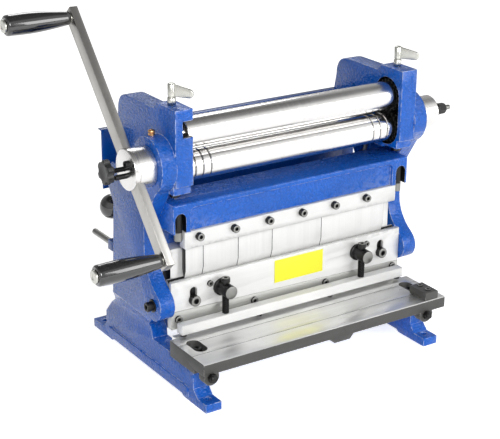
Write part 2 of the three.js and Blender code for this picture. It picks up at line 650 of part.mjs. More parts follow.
const bladeRear = plateFront + blade.thick;
const upperBlade = () => plate('y', [
  [-plateHalf, plateLowLeft - seatGap - blade.height], [plateHalf, plateLowRight - seatGap - blade.height],
  [plateHalf, plateLowRight - seatGap], [-plateHalf, plateLowLeft - seatGap],
], [plateFront, bladeRear]);
const bladeScrewAt = (share) => {
  const place = {
    x: share * bladeScrew.x,
    z: (bladeScrew.leftZ * (1 - share) + bladeScrew.rightZ * (1 + share)) / 2,
  };
  return capHead('y', -1, bladeScrew.radius, plateFront, bladeScrew.proud, bladeScrew.socket, place);
};
node('upper_shear_blade', joined(upperBlade(), ...bladeScrewShares.map(bladeScrewAt)), polishedSteel);

const ramCarrier = () => {
  const section = [
    [bladeRear + seatGap, carrierLip.bottom], [carrierRear, carrierLip.bottom],
    [carrierRear, plateTop], [carrierFront, plateTop],
    [carrierFront, dieBottom - carrierLip.topGap], [bladeRear + seatGap, dieBottom - carrierLip.topGap],
  ];
  const tower = (side) => block(spread(side, towerInner, towerOuter), [carrierFront, carrierRear],
    [carrierBottom, towerTop]);
  return joined(plate('x', section, [-towerOuter, towerOuter]), tower(-1), tower(1));
};
node('ram_carrier', ramCarrier(), groundSteel);

node('blank_plate', block([blankPlate.left, blankPlate.right], [plateFront - blankPlate.thick, plateFront],
  [blankPlate.low, blankPlate.high]), yellowPlate);

// Sheet hold-down: two bosses on the ram carry the bar by its studs.
const holdMiddle = holdBar.front + holdBar.size / 2;
const holdBoss = (side) => {
  const centre = { x: side * holdPost.x, z: holdPost.z };
  const body = turned('y', [
    [0, plateFront], [holdPost.flange, plateFront], [holdPost.flange, plateFront - holdPost.flangeThick],
    [holdPost.radius, plateFront - holdPost.flangeThick],
    [holdPost.radius, holdPost.front], [0, holdPost.front],
  ], centre);
  const bore = rod('z', holdStud.radius + runGap, [holdPost.z - holdPost.radius - overrun,
    holdPost.z + holdPost.radius + overrun], { x: centre.x, y: holdMiddle }, smallSides);
  return carved(body, bore);
};
sides.forEach((side) => node(`${sideName(side)}_hold_down_boss`, holdBoss(side), blackOxide));

const holdTop = holdBar.bottom + holdBar.height;
const holdPadOuter = holdBar.half - holdPad.endInset;
const holdPadXs = [-holdPadOuter, -holdPadOuter / 3, holdPadOuter / 3, holdPadOuter];
const holdPadAt = (x) => rod('z', holdPad.radius, [holdBar.bottom - holdPad.height, holdBar.bottom + lap],
  { x, y: holdMiddle }, smallSides);
const holdDownBar = () => joined(
  block([-holdBar.half, holdBar.half], [holdBar.front, holdBar.front + holdBar.size],
    [holdBar.bottom, holdTop]),
  ...holdPadXs.map(holdPadAt),
);
node('hold_down_bar', holdDownBar(), groundSteel);
const holdStudAt = (side) => {
  const centre = { x: side * holdPost.x, y: holdMiddle };
  const seat = holdPost.z + holdPost.radius + holdStud.headGap + lap;
  const head = capHead('z', 1, holdStud.headRadius, seat, holdStud.headLength, holdStud.socket, centre);
  return joined(rod('z', holdStud.radius, [holdTop, seat + lap], centre, smallSides), head);
};
sides.forEach((side) => node(`${sideName(side)}_hold_down_stud`, holdStudAt(side), blackOxide));

// Shear table, its screws and bolts, the lower blade and the side stop.
const scribeCut = (y) => block([-table.half - overrun, table.half + overrun],
  [y - table.scribeWidth / 2, y + table.scribeWidth / 2], [tableTop - table.scribe, tableTop + overrun]);
const tableSlotX = table.half - tableSlot.endInset;
const tableSlotCut = (side) => {
  const shape = new THREE.Shape();
  const x = side * tableSlotX;
  const reach = tableSlot.halfLength - tableSlot.radius;
  shape.absarc(x, tableSlot.y + reach, tableSlot.radius, 0, Math.PI, false);
  shape.absarc(x, tableSlot.y - reach, tableSlot.radius, Math.PI, 2 * Math.PI, false);
  return plate('z', shape, [tableTop - tableSlot.depth, tableTop + overrun], 0, smallSides / 2);
};
const tableLugPlace = (side) => ({
  x: side * (table.half - (side < 0 ? tableLug.leftInset : tableLug.rightInset)),
  z: tableBottom - tableLug.drop,
});
const shearTable = () => {
  const slab = plate('x', [
    [table.front, tableBottom + table.edge], [table.front + table.edge, tableBottom],
    [table.rear, tableBottom], [table.rear, tableTop],
    [table.front + table.edge, tableTop], [table.front, tableTop - table.edge],
  ], [-table.half, table.half]);
  const rail = (side) => block(spread(side, footInner + seatGap, table.half), [table.railFront, table.rear],
    [railBottom, tableBottom + lap]);
  const cornerLug = (side) => rod('y', tableLug.radius, [table.front, table.front + tableLug.depth],
    tableLugPlace(side));
  const bottomLug = plate('y', [
    [middleLug.x - middleLug.half, tableBottom - middleLug.drop],
    [middleLug.x + middleLug.half, tableBottom - middleLug.drop],
    [middleLug.x + middleLug.half + middleLug.slope, tableBottom + lap],
    [middleLug.x - middleLug.half - middleLug.slope, tableBottom + lap],
  ], [table.front, table.front + middleLug.depth]);
  const body = joined(slab, rail(-1), rail(1), cornerLug(-1), cornerLug(1), bottomLug);
  const boltHole = (side) => rod('y', tableBolt.radius + seatGap,
    [table.front - overrun, table.front + tableLug.depth + overrun], tableLugPlace(side), smallSides);
  return carved(body, ...scribeLines.map(scribeCut), ...sides.map(tableSlotCut), ...sides.map(boltHole));
};
const tableScrewAt = (side) => capHead('z', 1, tableScrew.radius, tableTop - tableSlot.depth,
  tableScrew.length, tableScrew.socket, { x: side * tableSlotX, y: tableSlot.y });
node('shear_table', joined(shearTable(), tableScrewAt(-1), tableScrewAt(1)), castGrey);

const tableBoltAt = (side) => joined(
  rod('y', tableBolt.radius, [table.front - tableBolt.ahead, table.front + tableLug.depth + tableBolt.behind],
    tableLugPlace(side), smallSides),
  rod('y', tableBolt.nutRadius, [table.front - seatGap - tableBolt.nutThick, table.front - seatGap],
    tableLugPlace(side), hexSides),
);
sides.forEach((side) => node(`${sideName(side)}_table_bolt`, tableBoltAt(side), blackOxide));

const lowerBladeHalf = plateHalf - lowerBlade.endGap;
const lowerBladeBar = block([-lowerBladeHalf, lowerBladeHalf], [-lowerBlade.depth, 0],
  [railBottom, tableTop]);
node('lower_shear_blade', lowerBladeBar, polishedSteel);

const stopOuter = table.half - stop.endInset;
const stopInner = stopOuter - stop.width;
const stopFront = table.front + stop.frontInset;
const stopRear = stopFront + stop.length;
const stopMiddle = { x: (stopInner + stopOuter) / 2, y: (stopFront + stopRear) / 2 };
const stopScrewAt = (side) => capHead('z', 1, stopScrew.radius, tableTop + stop.height, stopScrew.length,
  stopScrew.socket, { x: stopMiddle.x, y: stopMiddle.y + side * stopScrew.spread });
const sideStop = () => joined(
  plate('z', shapeOf([
    [stopInner, stopFront], [stopOuter, stopFront], [stopOuter, stopRear], [stopInner, stopRear],
  ]), [tableTop, tableTop + stop.height], stop.edge),
  ...sides.map(stopScrewAt),
);
node('side_stop', sideStop(), castGrey);

// Rear cover, gauge rods and bar, ball lever.
const coverFront = head.rear + seatGap;
const coverSheet = () => plate('x', [
  [coverFront, cover.bottom], [coverFront + cover.thick, cover.bottom],
  [coverFront + cover.thick, cover.top - cover.thick], [coverFront + cover.flange, cover.top - cover.thick],
  [coverFront + cover.flange, cover.top], [coverFront, cover.top],
], [-webOuter, webOuter]);
const coverScrewAt = (side) => capHead('y', 1, coverScrew.radius, coverFront + cover.thick, coverScrew.proud,
  coverScrew.socket, { x: side * coverScrew.x, z: coverScrew.z });
const coverApron = block(cover.apron, [coverFront, coverFront + cover.thick],
  [cover.apronBottom, cover.bottom + lap]);
node('rear_cover', joined(coverSheet(), coverApron, ...sides.map(coverScrewAt)), sheetBlue);

const gaugeRodAt = (side) => {
  const centre = { x: side * gaugeRod.x, z: gaugeRod.z };
  return joined(
    rod('y', gaugeRod.radius, [webRear.waist - gaugeRod.seat + seatGap, gaugeRod.rear], centre, smallSides),
    rod('y', gaugeSleeve.radius, [webRear.low + seatGap, webRear.low + gaugeSleeve.length],
      centre, smallSides),
  );
};
sides.forEach((side) => node(`${sideName(side)}_gauge_rod`, gaugeRodAt(side), blackOxide));
const gaugeBarBody = () => {
  const half = gaugeRod.x + gaugeBar.over;
  const reach = gaugeBar.size / 2;
  const bore = (side) => rod('y', gaugeRod.radius + seatGap,
    [gaugeBar.y - reach - overrun, gaugeBar.y + reach + overrun],
    { x: side * gaugeRod.x, z: gaugeRod.z }, smallSides);
  const body = block([-half, half], [gaugeBar.y - reach, gaugeBar.y + reach],
    [gaugeRod.z - reach, gaugeRod.z + reach]);
  return carved(body, bore(-1), bore(1));
};
node('gauge_bar', gaugeBarBody(), sheetBlue);

const leverOuter = webInner - seatGap;
const ballLever = () => {
  const middle = leverOuter - lever.hubThick / 2;
  const from = new THREE.Vector3(-middle, lever.y, lever.z);
  const to = new THREE.Vector3(-middle, lever.ballY, lever.ballZ);
  const path = new THREE.LineCurve3(from, to);
  const ringShape = new THREE.Shape();
  ringShape.absarc(0, 0, lever.armRadius, 0, 2 * Math.PI, false);
  const along = { extrudePath: path, steps: 1, curveSegments: smallSides / 2 };
  const arm = new THREE.ExtrudeGeometry(ringShape, along);
  return joined(
    rod('x', lever.hubRadius, [-leverOuter + lever.hubThick, -leverOuter], lever),
    rod('x', lever.pinRadius, [-leverOuter + lap, -webInner - lever.pinDepth], lever, smallSides),
    arm,
    new THREE.SphereGeometry(lever.ballRadius, smallSides, smallSides / 2).translate(to.x, to.y, to.z),
  );
};
node('ball_lever', ballLever(), blackPlastic);

// Nose screws and oil cups.
const noseSeat = webOuter + lap + seatGap;
const noseScrewAt = (side) => joined(
  rod('x', noseScrew.shank, spread(side, webInner + seatGap, noseSeat), nose, smallSides),
  capHead('x', side, noseScrew.radius, side * noseSeat, noseScrew.proud, noseScrew.socket, nose),
);
sides.forEach((side) => node(`${sideName(side)}_nose_screw`, noseScrewAt(side), blackOxide));
const oilCupAt = (side) => {
  const seat = crankAxis.z + ring.radius;
  return turned('z', [
    [0, seat], [oilCup.radius, seat], [oilCup.radius, seat + oilCup.shoulder],
    [oilCup.lip, seat + oilCup.shoulder], [oilCup.radius, seat + oilCup.height],
    [0, seat + oilCup.height],
  ], { x: side * oilCup.x, y: oilCup.y }, smallSides);
};
sides.forEach((side) => node(`${sideName(side)}_oil_cup`, oilCupAt(side), brass));

// Rolls, their gears and their blocks.
const journalEnd = headInner + gearPocket.depth + blockPocket.depth - seatGap;
const rollProfile = (rollHalf, journalLength, grooves) => {
  const half = [[0, journalLength], [journalRadius, journalLength], [journalRadius, rollHalf],
    [rollRadius - rollEdge, rollHalf], [rollRadius, rollHalf - rollEdge]];
  for (let i = 0; i < grooves; i += 1) {
    const middle = rollHalf - wireGroove.inset - i * wireGroove.pitch;
    half.push([rollRadius, middle + wireGroove.width / 2], [rollRadius - wireGroove.depth, middle],
      [rollRadius, middle - wireGroove.width / 2]);
  }
  return [...half, ...half.map(([radius, along]) => [radius, -along]).reverse()];
};
const roll = (axis, endGap, journalLength, grooves) =>
  turned('x', rollProfile(headInner - endGap, journalLength, grooves), axis, fineSides);
node('upper_roll', roll(upperAxis, rollEndGap.front, journalEnd, 0), polishedSteel);
node('lower_roll', roll(lowerAxis, rollEndGap.front, journalEnd, wireGrooveCount), polishedSteel);
node('rear_roll', roll(rearAxis, rollEndGap.rear, headInner + rearPocket.depth - runGap, 0), polishedSteel);

// A spur gear whose teeth begin half a tooth further round where it meshes from below.
const spurGear = (axis, phaseShare) => {
  const step = (2 * Math.PI) / gearTeeth;
  const root = pitchRadius - gear.dedendum;
  const tooth = [
    [root, -toothShare], [gearTip, -toothTipShare], [gearTip, toothTipShare], [root, toothShare],
  ];
  const points = [];
  for (let i = 0; i < gearTeeth; i += 1) {
    const middle = (i + phaseShare) * step;
    tooth.forEach(([radius, share]) => {
      const angle = middle + (share * step) / 2;
      points.push([axis.y + radius * Math.cos(angle), axis.z + radius * Math.sin(angle)]);
    });
  }
  const across = [headInner + gear.inset, headInner + gear.inset + gear.thick];
  const bore = rod('x', journalRadius + seatGap, [headInner, headOuter], axis);
  return carved(plate('x', points, across), bore);
};
node('upper_gear', spurGear(upperAxis, 0), groundSteel);
node('lower_gear', spurGear(lowerAxis, halfToothShare), groundSteel);

const journalBore = (side, inner, outer, axis) =>
  rod('x', journalRadius + seatGap, spread(side, inner - overrun, outer + overrun), axis);
const rollBlock = (axis) => (side) => {
  const inner = headInner + gearPocket.depth + seatGap;
  const outer = headInner + gearPocket.depth + blockPocket.depth - seatGap;
  const body = block(spread(side, inner, outer),
    [axis.y - blockPocket.halfWidth, axis.y + blockPocket.halfWidth],
    [axis.z - blockPocket.halfHeight, axis.z + blockPocket.halfHeight]);
  return carved(body, journalBore(side, inner, outer, axis));
};
sides.forEach((side) => node(`${sideName(side)}_upper_block`, rollBlock(upperAxis)(side), castGrey));
sides.forEach((side) => node(`${sideName(side)}_lower_block`, rollBlock(lowerAxis)(side), castGrey));

const rearBlock = (side) => {
  const inner = headInner + seatGap;
  const outer = headInner + rearPocket.depth - seatGap;
  const body = rearTurned(side, inner, outer, rearPocket.halfWidth, -rearPocket.halfHeight,
    rearPocket.halfHeight);
  return carved(body, journalBore(side, inner, outer, rearAxis));
};
sides.forEach((side) => node(`${sideName(side)}_rear_block`, rearBlock(side), castGrey));

// Adjusting screws under the heads: their tips meet the roll blocks.
const adjusterAt = (side) => {
  const place = { x: side * adjuster.x, y: adjuster.y };
  const headTop = head.lugBottom - adjuster.gap;
  const tip = lowerAxis.z - blockPocket.halfHeight - seatGap;
  return joined(
    rod('z', adjuster.radius, [headTop - lap, tip], place, smallSides),
    rod('z', adjuster.hexRadius, [headTop - adjuster.hexHeight, headTop], place, hexSides),
  );
};
const rearAdjusterAt = (side) => {
  const place = { x: side * rearAdjuster.x };
  const end = -rearAdjuster.reach;
  const screw = joined(
    rod('z', rearAdjuster.radius, [end, -seatGap], place, smallSides),
    rod('z', rearAdjuster.hexRadius, [end - rearAdjuster.hexHeight, end + lap], place, hexSides),
  );
  return screw.rotateX(rearLean).translate(0, rearAdjusterFoot.y, rearAdjusterFoot.z);
};
sides.forEach((side) => node(`${sideName(side)}_roll_screw`, adjusterAt(side), blackOxide));
sides.forEach((side) => node(`${sideName(side)}_rear_screw`, rearAdjusterAt(side), blackOxide));

// Wing screws on top of the pillars: the paddle's top edge slopes down to its round end.
const wingPaddle = (top) => {
  const tip = { x: wing.length - wing.tipRadius, z: top - wing.width + wing.tipRadius };
  const slope = Math.atan((wing.width - 2 * wing.tipRadius) / tip.x);
  const shape = new THREE.Shape();
  shape.moveTo(0, top - wing.width);
  shape.lineTo(tip.x, top - wing.width);
  shape.absarc(tip.x, tip.z, wing.tipRadius, -Math.PI / 2, Math.PI / 2 - slope, false);
  shape.lineTo(0, top);
  return plate('y', shape, [-wing.thick / 2, wing.thick / 2], 0, smallSides / 2);
};
const wingScrewAt = (side) => {
  const place = { x: side * wing.x, y: wing.y };
  const top = head.pillarTop + wing.rise;
  const paddle = wingPaddle(top).rotateZ(wingTurn).translate(place.x, place.y, 0);
  return joined(
    rod('z', wing.stem, [upperAxis.z + blockPocket.halfHeight + seatGap, top], place, smallSides),
    rod('z', wing.collar, [head.pillarTop + seatGap, head.pillarTop + wing.collarRise], place, smallSides),
    paddle,
  );
};
sides.forEach((side) => node(`${sideName(side)}_wing_screw`, wingScrewAt(side), groundSteel));

// Crank: hub with its shaft, flat bar with two spindles, grips and the star knob.
const hubInner = webOuter + seatGap;
const hubOuter = hubInner + hub.length;
const barOuter = hubOuter - crankBar.lip;
const alongBar = (distance) => ({
  y: crankAxis.y + distance * Math.cos(barAngle),
  z: crankAxis.z + distance * Math.sin(barAngle),
});
const turnedBar = (geometry) => geometry.rotateX(barAngle).translate(0, crankAxis.y, crankAxis.z);
const flatBar = (gap, down, up) => turnedBar(block(
  [-barOuter - gap, -barOuter + crankBar.thick + gap], [-down, up],
  [-crankBar.width / 2 - gap, crankBar.width / 2 + gap]));

const starPlace = { y: crankAxis.y + star.behind, z: crankAxis.z };
const crankHub = () => {
  const grooveFrom = hubOuter - hub.lip;
  const body = turned('x', [
    [0, -hubInner], [hub.radius, -hubInner], [hub.radius, -grooveFrom + hub.grooveWidth],
    [hub.radius - hub.groove, -grooveFrom + hub.grooveWidth / 2], [hub.radius, -grooveFrom],
    [hub.radius, -hubOuter + hub.chamfer], [hub.radius - hub.chamfer, -hubOuter], [0, -hubOuter],
  ], crankAxis, fineSides);
  const stub = rod('x', shaft.radius, [-webOuter + shaft.seat - seatGap, -hubInner - lap], crankAxis);
  return carved(joined(body, stub), flatBar(seatGap, hub.radius + overrun, hub.radius + overrun),
    rod('x', star.studRadius + seatGap, [-barOuter, -hubOuter - overrun], starPlace, smallSides));
};
const hubScrew = (screw) => capHead('x', -1, screw.radius, -hubOuter, screw.length, screw.socket,
  { y: crankAxis.y + screw.behind, z: crankAxis.z + screw.above });
node('crank_hub', joined(crankHub(), ...clampScrews.map(hubScrew)), polishedSteel);

const gripDistances = [crankBar.up - crankBar.spindleInset, crankBar.spindleInset - crankBar.down];
const crankBarBody = () => {
  const spindleAt = (distance) => joined(
    rod('x', spindle.radius, [-barOuter + lap, -gripEnd - lap], alongBar(distance), smallSides),
    rod('x', spindle.capRadius, [-gripEnd - seatGap, -gripEnd - seatGap - spindle.capLength],
      alongBar(distance), smallSides),
  );
  return joined(flatBar(0, crankBar.down, crankBar.up), ...gripDistances.map(spindleAt));
};
const gripStart = barOuter + grip.gap;
const gripEnd = gripStart + grip.length;
node('crank_bar', crankBarBody(), groundSteel);
const gripAt = (distance) => {
  const middle = gripStart + grip.length * gripMidShare;
  const curve = new THREE.SplineCurve([
    new THREE.Vector2(grip.near, -gripStart), new THREE.Vector2(grip.mid, -middle),
    new THREE.Vector2(grip.far, -gripEnd + grip.edge),
  ]);
  const bore = spindle.radius + seatGap;
  const outer = curve.getPoints(gripSteps).map((point) => [point.x, point.y]);
  return turned('x', [[bore, -gripStart], ...outer, [grip.far - grip.edge, -gripEnd], [bore, -gripEnd],
    [bore, -gripStart]], alongBar(distance));
};
node('upper_grip', gripAt(gripDistances[0]), blackPlastic);
node('lower_grip', gripAt(gripDistances[1]), blackPlastic);

const starKnob = () => {
  const shape = new THREE.Shape();
  const count = starPoints * starSteps;
  for (let i = 0; i < count; i += 1) {
    const angle = (2 * Math.PI * i) / count;
    const radius = star.radius - (star.dip * (1 - Math.cos(starPoints * angle))) / 2;
    const point = [starPlace.y + radius * Math.cos(angle), starPlace.z + radius * Math.sin(angle)];
    if (i === 0) shape.moveTo(...point);
    else shape.lineTo(...point);
  }
  const from = hubOuter + star.studLength;
  return joined(
    plate('x', shape, [-from, -from - star.thick]),
    rod('x', star.studRadius, [-barOuter - seatGap, -from - lap], starPlace, smallSides),
  );
};
node('star_knob', starKnob(), blackPlastic);

// Hub and stud on the right.
const rightEnd = hubInner + rightHub.length;
const rightHubBody = () => joined(
  turned('x', [
    [0, hubInner], [rightHub.radius, hubInner], [rightHub.radius, rightEnd - rightHub.chamfer],
    [rightHub.radius - rightHub.chamfer, rightEnd], [0, rightEnd],
  ], crankAxis, fineSides),
  rod('x', shaft.radius, [webOuter - shaft.seat + seatGap, hubInner + lap], crankAxis),
);
node('right_hub', rightHubBody(), polishedSteel);
const rightStudBody = () => {
  const base = rightEnd + rightStud.length;
  const step = base + rightStud.hexLength;
  return joined(
    rod('x', rightStud.radius, [rightEnd, base], crankAxis),
    rod('x', rightStud.hexRadius, [base - lap, step], crankAxis, hexSides),
    rod('x', rightStud.pinRadius, [step - lap, step + rightStud.pinLength], crankAxis, smallSides),
  );
};
node('right_stud', rightStudBody(), blackOxide);

// The origin sits on the bench, under the middle of the whole machine.
const bounds = new THREE.Box3().setFromObject(part);
part.position.set(-(bounds.min.x + bounds.max.x) / 2, -(bounds.min.y + bounds.max.y) / 2, -bounds.min.z);
part.updateMatrixWorld(true);

export default part;
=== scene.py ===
"""Looks of a bench slip roll with a press brake and a shear, laid out as an add-on.

The CAD nodes are the fixed frame. Castings and plates are rounded copies of their nodes;
rolls, hub, grips, knobs and screws are modelled again with more detail.
Places and sizes in the code are millimetres from the middle plane, the shear plane and the bench.
Texture scales are cells in a metre, and the radii and heights of textures are metres.
"""

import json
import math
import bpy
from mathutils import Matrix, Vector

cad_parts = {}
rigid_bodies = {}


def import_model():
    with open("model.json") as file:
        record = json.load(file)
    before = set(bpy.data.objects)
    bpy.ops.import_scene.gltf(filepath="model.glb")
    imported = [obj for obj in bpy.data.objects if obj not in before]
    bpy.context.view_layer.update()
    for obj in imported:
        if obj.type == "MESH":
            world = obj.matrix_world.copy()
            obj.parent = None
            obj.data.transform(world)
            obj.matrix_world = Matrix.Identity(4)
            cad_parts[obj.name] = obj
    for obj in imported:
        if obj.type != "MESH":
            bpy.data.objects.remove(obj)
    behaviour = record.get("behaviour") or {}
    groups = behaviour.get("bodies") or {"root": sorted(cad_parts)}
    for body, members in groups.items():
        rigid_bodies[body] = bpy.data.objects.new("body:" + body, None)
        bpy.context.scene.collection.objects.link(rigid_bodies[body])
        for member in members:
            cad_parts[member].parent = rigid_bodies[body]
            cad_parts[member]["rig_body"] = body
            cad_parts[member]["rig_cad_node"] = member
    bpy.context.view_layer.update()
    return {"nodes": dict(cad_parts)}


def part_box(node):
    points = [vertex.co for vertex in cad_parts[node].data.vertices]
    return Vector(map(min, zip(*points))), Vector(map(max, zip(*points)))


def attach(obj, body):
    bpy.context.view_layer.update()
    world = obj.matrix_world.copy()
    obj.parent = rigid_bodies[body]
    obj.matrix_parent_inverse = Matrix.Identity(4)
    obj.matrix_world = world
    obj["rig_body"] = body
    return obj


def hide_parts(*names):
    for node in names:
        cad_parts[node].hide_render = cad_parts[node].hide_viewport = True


bl_info = {
    "name": "Slip roll machine",
    "version": (1, 0, 0),
    "blender": (4, 5, 0),
    "location": "3D View > Sidebar > Slip roll",
    "description": "Finishes and fine pieces of a bench slip roll with press brake and shear",
    "category": "Object",
}

import bmesh
import bpy
from bpy.props import FloatProperty, FloatVectorProperty, IntProperty, PointerProperty
from bpy.types import Operator, Panel, PropertyGroup
from mathutils import Matrix, Vector

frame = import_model()

MM = 0.001
BLADE_LOW, BLADE_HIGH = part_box("lower_shear_blade")
MIDDLE = (BLADE_LOW.x + BLADE_HIGH.x) / 2
SHEAR = BLADE_HIGH.y
SIDES = (("left", -1), ("right", 1))
LEFT, RIGHT, FRONT, REAR, UP = (-1, 0, 0), (1, 0, 0), (0, -1, 0), (0, 1, 0), (0, 0, 1)

# Centres of the turning parts, as depth behind the shear plane and height.
CRANK = (15, 287)
UPPER_ROLL = (12, 320.5)
LOWER_ROLL = (12, 279.3)
REAR_ROLL = (54, 284)
REAR_LEAN = math.atan(0.25)
STAR_KNOB = (19.5, 287)
LEVER_PIVOT = (94, 206)
LEVER_BALL = (158, 186)

# Distances from the middle plane.
WEB_OUTER = 197
HUB_INNER = 197.3
HUB_OUTER = 225.9
BAR_OUTER = 224.2
SHAFT_INNER = 180.5
HANGER_X = 166.7
BOSS_X = 105.3
ROLL_SCREW_X = 167
REAR_SCREW_X = 166
GAUGE_ROD_X = 184

# Heights and depths that several pieces share.
PLATE_FRONT = 0.3
TABLE_TOP = 68.1
HANGER_Y = -1.6
STUD_Y = -11

# The crank bar: how it is turned, its section, and the places of its grips along it.
BAR_TURN = math.radians(48.4)
BAR_THICK = 10.5
BAR_WIDE = 18.5
GRIPS = (("upper_grip", 203.5), ("lower_grip", -116.0))


def at(x, y, z):
    """A point of the machine, given in millimetres."""
    return Vector((MIDDLE + x * MM, SHEAR + y * MM, z * MM))


def place_of(point):
    """Distance from the middle plane, depth behind the shear plane and height, in millimetres."""
    return abs(point.x - MIDDLE) / MM, (point.y - SHEAR) / MM, point.z / MM


# Shader groups.


def add(tree, kind, inputs=None, **settings):
    """Adds a shader node. An input is a plain value or the socket that feeds it."""
    node = tree.nodes.new(kind)
    for key, value in settings.items():
        setattr(node, key, value)
    for key, value in (inputs or {}).items():
        if isinstance(value, bpy.types.NodeSocket):
            tree.links.new(value, node.inputs[key])
        else:
            node.inputs[key].default_value = value
    return node


def maths(tree, operation, first, second=0.0, clamp=False):
    return add(tree, "ShaderNodeMath", {0: first, 1: second}, operation=operation, use_clamp=clamp).outputs[0]


def vectors(tree, operation, first, second):
    """Joins two vectors, or a vector and its scale."""
    inputs = {0: first, "Scale" if operation == "SCALE" else 1: second}
    return add(tree, "ShaderNodeVectorMath", inputs, operation=operation)


def noise(tree, place, scale, detail, **more):
    inputs = {"Vector": place, "Scale": scale, "Detail": detail, **more}
    return add(tree, "ShaderNodeTexNoise", inputs)


def spread(tree, value, low, high, new_low=0.0, new_high=1.0):
    """Takes value from the range low to high into a new range, and stops at its ends."""
    inputs = {"Value": value, "From Min": low, "From Max": high, "To Min": new_low, "To Max": new_high}
    return add(tree, "ShaderNodeMapRange", inputs).outputs["Result"]


def mixed(tree, share, first, second):
    """The first colour where share is 0, the second where it is 1."""
    return add(tree, "ShaderNodeMix", {0: share, 6: first, 7: second}, data_type="RGBA").outputs[2]


def new_group(name, inputs, outputs):
    """An empty shader group with named sockets; returns the tree, its input and its output node."""
    tree = bpy.data.node_groups.new(name, "ShaderNodeTree")
    for label, kind, value in inputs:
        socket = tree.interface.new_socket(name=label, in_out="INPUT", socket_type=kind)
        if value is not None:
            socket.default_value = value
    for label, kind in outputs:
        tree.interface.new_socket(name=label, in_out="OUTPUT", socket_type=kind)
    return tree, tree.nodes.new("NodeGroupInput"), tree.nodes.new("NodeGroupOutput")


def hammer_group():
    """Dimples of a hammered paint: rounded cells of uneven size, and broad changes of tone."""
    tree, given, out = new_group(
        "Hammered dimples",
        [("Vector", "NodeSocketVector", None), ("Scale", "NodeSocketFloat", 420.0)],
        [("Height", "NodeSocketFloat"), ("Tone", "NodeSocketFloat")],
    )
    bent = noise(tree, given.outputs[0], 160.0, 2.0)
    shift = vectors(tree, "SCALE", bent.outputs["Color"], 0.004)
    place = vectors(tree, "ADD", given.outputs[0], shift.outputs[0])
    inputs = {"Vector": place.outputs[0], "Scale": given.outputs[1], "Smoothness": 0.6}
    cells = add(tree, "ShaderNodeTexVoronoi", inputs, feature="SMOOTH_F1")
    tree.links.new(spread(tree, cells.outputs["Distance"], 0.1, 0.75), out.inputs[0])
    broad = noise(tree, given.outputs[0], 14.0, 3.0)
    tree.links.new(spread(tree, broad.outputs["Fac"], 0.3, 0.7), out.inputs[1])
    return tree


def wear_and_highlight_group():
    """Places along the outer edges where the finish is thinned or gone, which also serve as painted
    highlights of the edges, and a normal that rounds them.
    """
    tree, given, out = new_group(
        "Worn and highlit edges",
        [
            ("Vector", "NodeSocketVector", None),
            ("Radius", "NodeSocketFloat", 0.001),
            ("Amount", "NodeSocketFloat", 0.5),
            ("Patches", "NodeSocketFloat", 120.0),
        ],
        [("Mask", "NodeSocketFloat"), ("Normal", "NodeSocketVector")],
    )
    rounded_normal = add(tree, "ShaderNodeBevel", {"Radius": given.outputs["Radius"]}, samples=6).outputs[0]
    flat = add(tree, "ShaderNodeNewGeometry")
    facing = vectors(tree, "DOT_PRODUCT", rounded_normal, flat.outputs["True Normal"])
    # A face that bends away from its true normal by 10 degrees starts to pale, and by 30 is fully pale.
    edge = spread(tree, facing.outputs["Value"], 0.985, 0.86)
    patches = noise(tree, given.outputs[0], given.outputs["Patches"], 4.0)
    broken = spread(tree, patches.outputs["Fac"], 0.4, 0.52)
    worn_and_highlit = maths(tree, "MULTIPLY", maths(tree, "MULTIPLY", edge, broken), given.outputs["Amount"], clamp=True)
    tree.links.new(worn_and_highlit, out.inputs[0])
    tree.links.new(rounded_normal, out.inputs[1])
    return tree


def grain_group():
    """Fine lines of grinding, brushing or turning, drawn out along one direction."""
    tree, given, out = new_group(
        "Machined grain",
        [
            ("Vector", "NodeSocketVector", None),
            ("Stretch", "NodeSocketVector", (10.0, 900.0, 900.0)),
            ("Contrast", "NodeSocketFloat", 1.0),
        ],
        [("Grain", "NodeSocketFloat"), ("Streak", "NodeSocketFloat")],
    )
    fine_place = vectors(tree, "MULTIPLY", given.outputs[0], given.outputs[1])
    fine = noise(tree, fine_place.outputs[0], 1.0, 3.0)
    wide_place = vectors(tree, "SCALE", fine_place.outputs[0], 0.12)
    wide = noise(tree, wide_place.outputs[0], 1.0, 2.0)
    centred = maths(tree, "SUBTRACT", fine.outputs["Fac"], 0.5)
    grain = maths(tree, "ADD", maths(tree, "MULTIPLY", centred, given.outputs["Contrast"]), 0.5, clamp=True)
    tree.links.new(grain, out.inputs[0])
    tree.links.new(spread(tree, wide.outputs["Fac"], 0.3, 0.7), out.inputs[1])
    return tree


def handling_group():
    """Smudges of oily hands and a little dust that lies on what faces up."""
    tree, given, out = new_group(
        "Handling marks",
        [("Vector", "NodeSocketVector", None), ("Size", "NodeSocketFloat", 18.0)],
        [("Smudge", "NodeSocketFloat"), ("Dust", "NodeSocketFloat")],
    )
    cloud = noise(tree, given.outputs[0], given.outputs[1], 5.0, Roughness=0.6)
    tree.links.new(spread(tree, cloud.outputs["Fac"], 0.42, 0.68), out.inputs[0])
    specks = noise(tree, given.outputs[0], 900.0, 2.0)
    faces = add(tree, "ShaderNodeNewGeometry")
    upward = add(tree, "ShaderNodeSeparateXYZ", {0: faces.outputs["Normal"]})
    lying = spread(tree, upward.outputs["Z"], 0.6, 0.98)
    dusty = spread(tree, specks.outputs["Fac"], 0.52, 0.7)
    tree.links.new(maths(tree, "MULTIPLY", dusty, lying), out.inputs[1])
    return tree


GROUPS = {
    "Hammered dimples": hammer_group,
    "Worn and highlit edges": wear_and_highlight_group,
    "Machined grain": grain_group,
    "Handling marks": handling_group,
}


def use(tree, name, **inputs):
    """Places a shader group, which is built at its first use."""
    made = bpy.data.node_groups.get(name) or GROUPS[name]()
    return add(tree, "ShaderNodeGroup", inputs, node_tree=made)


# Finishes.


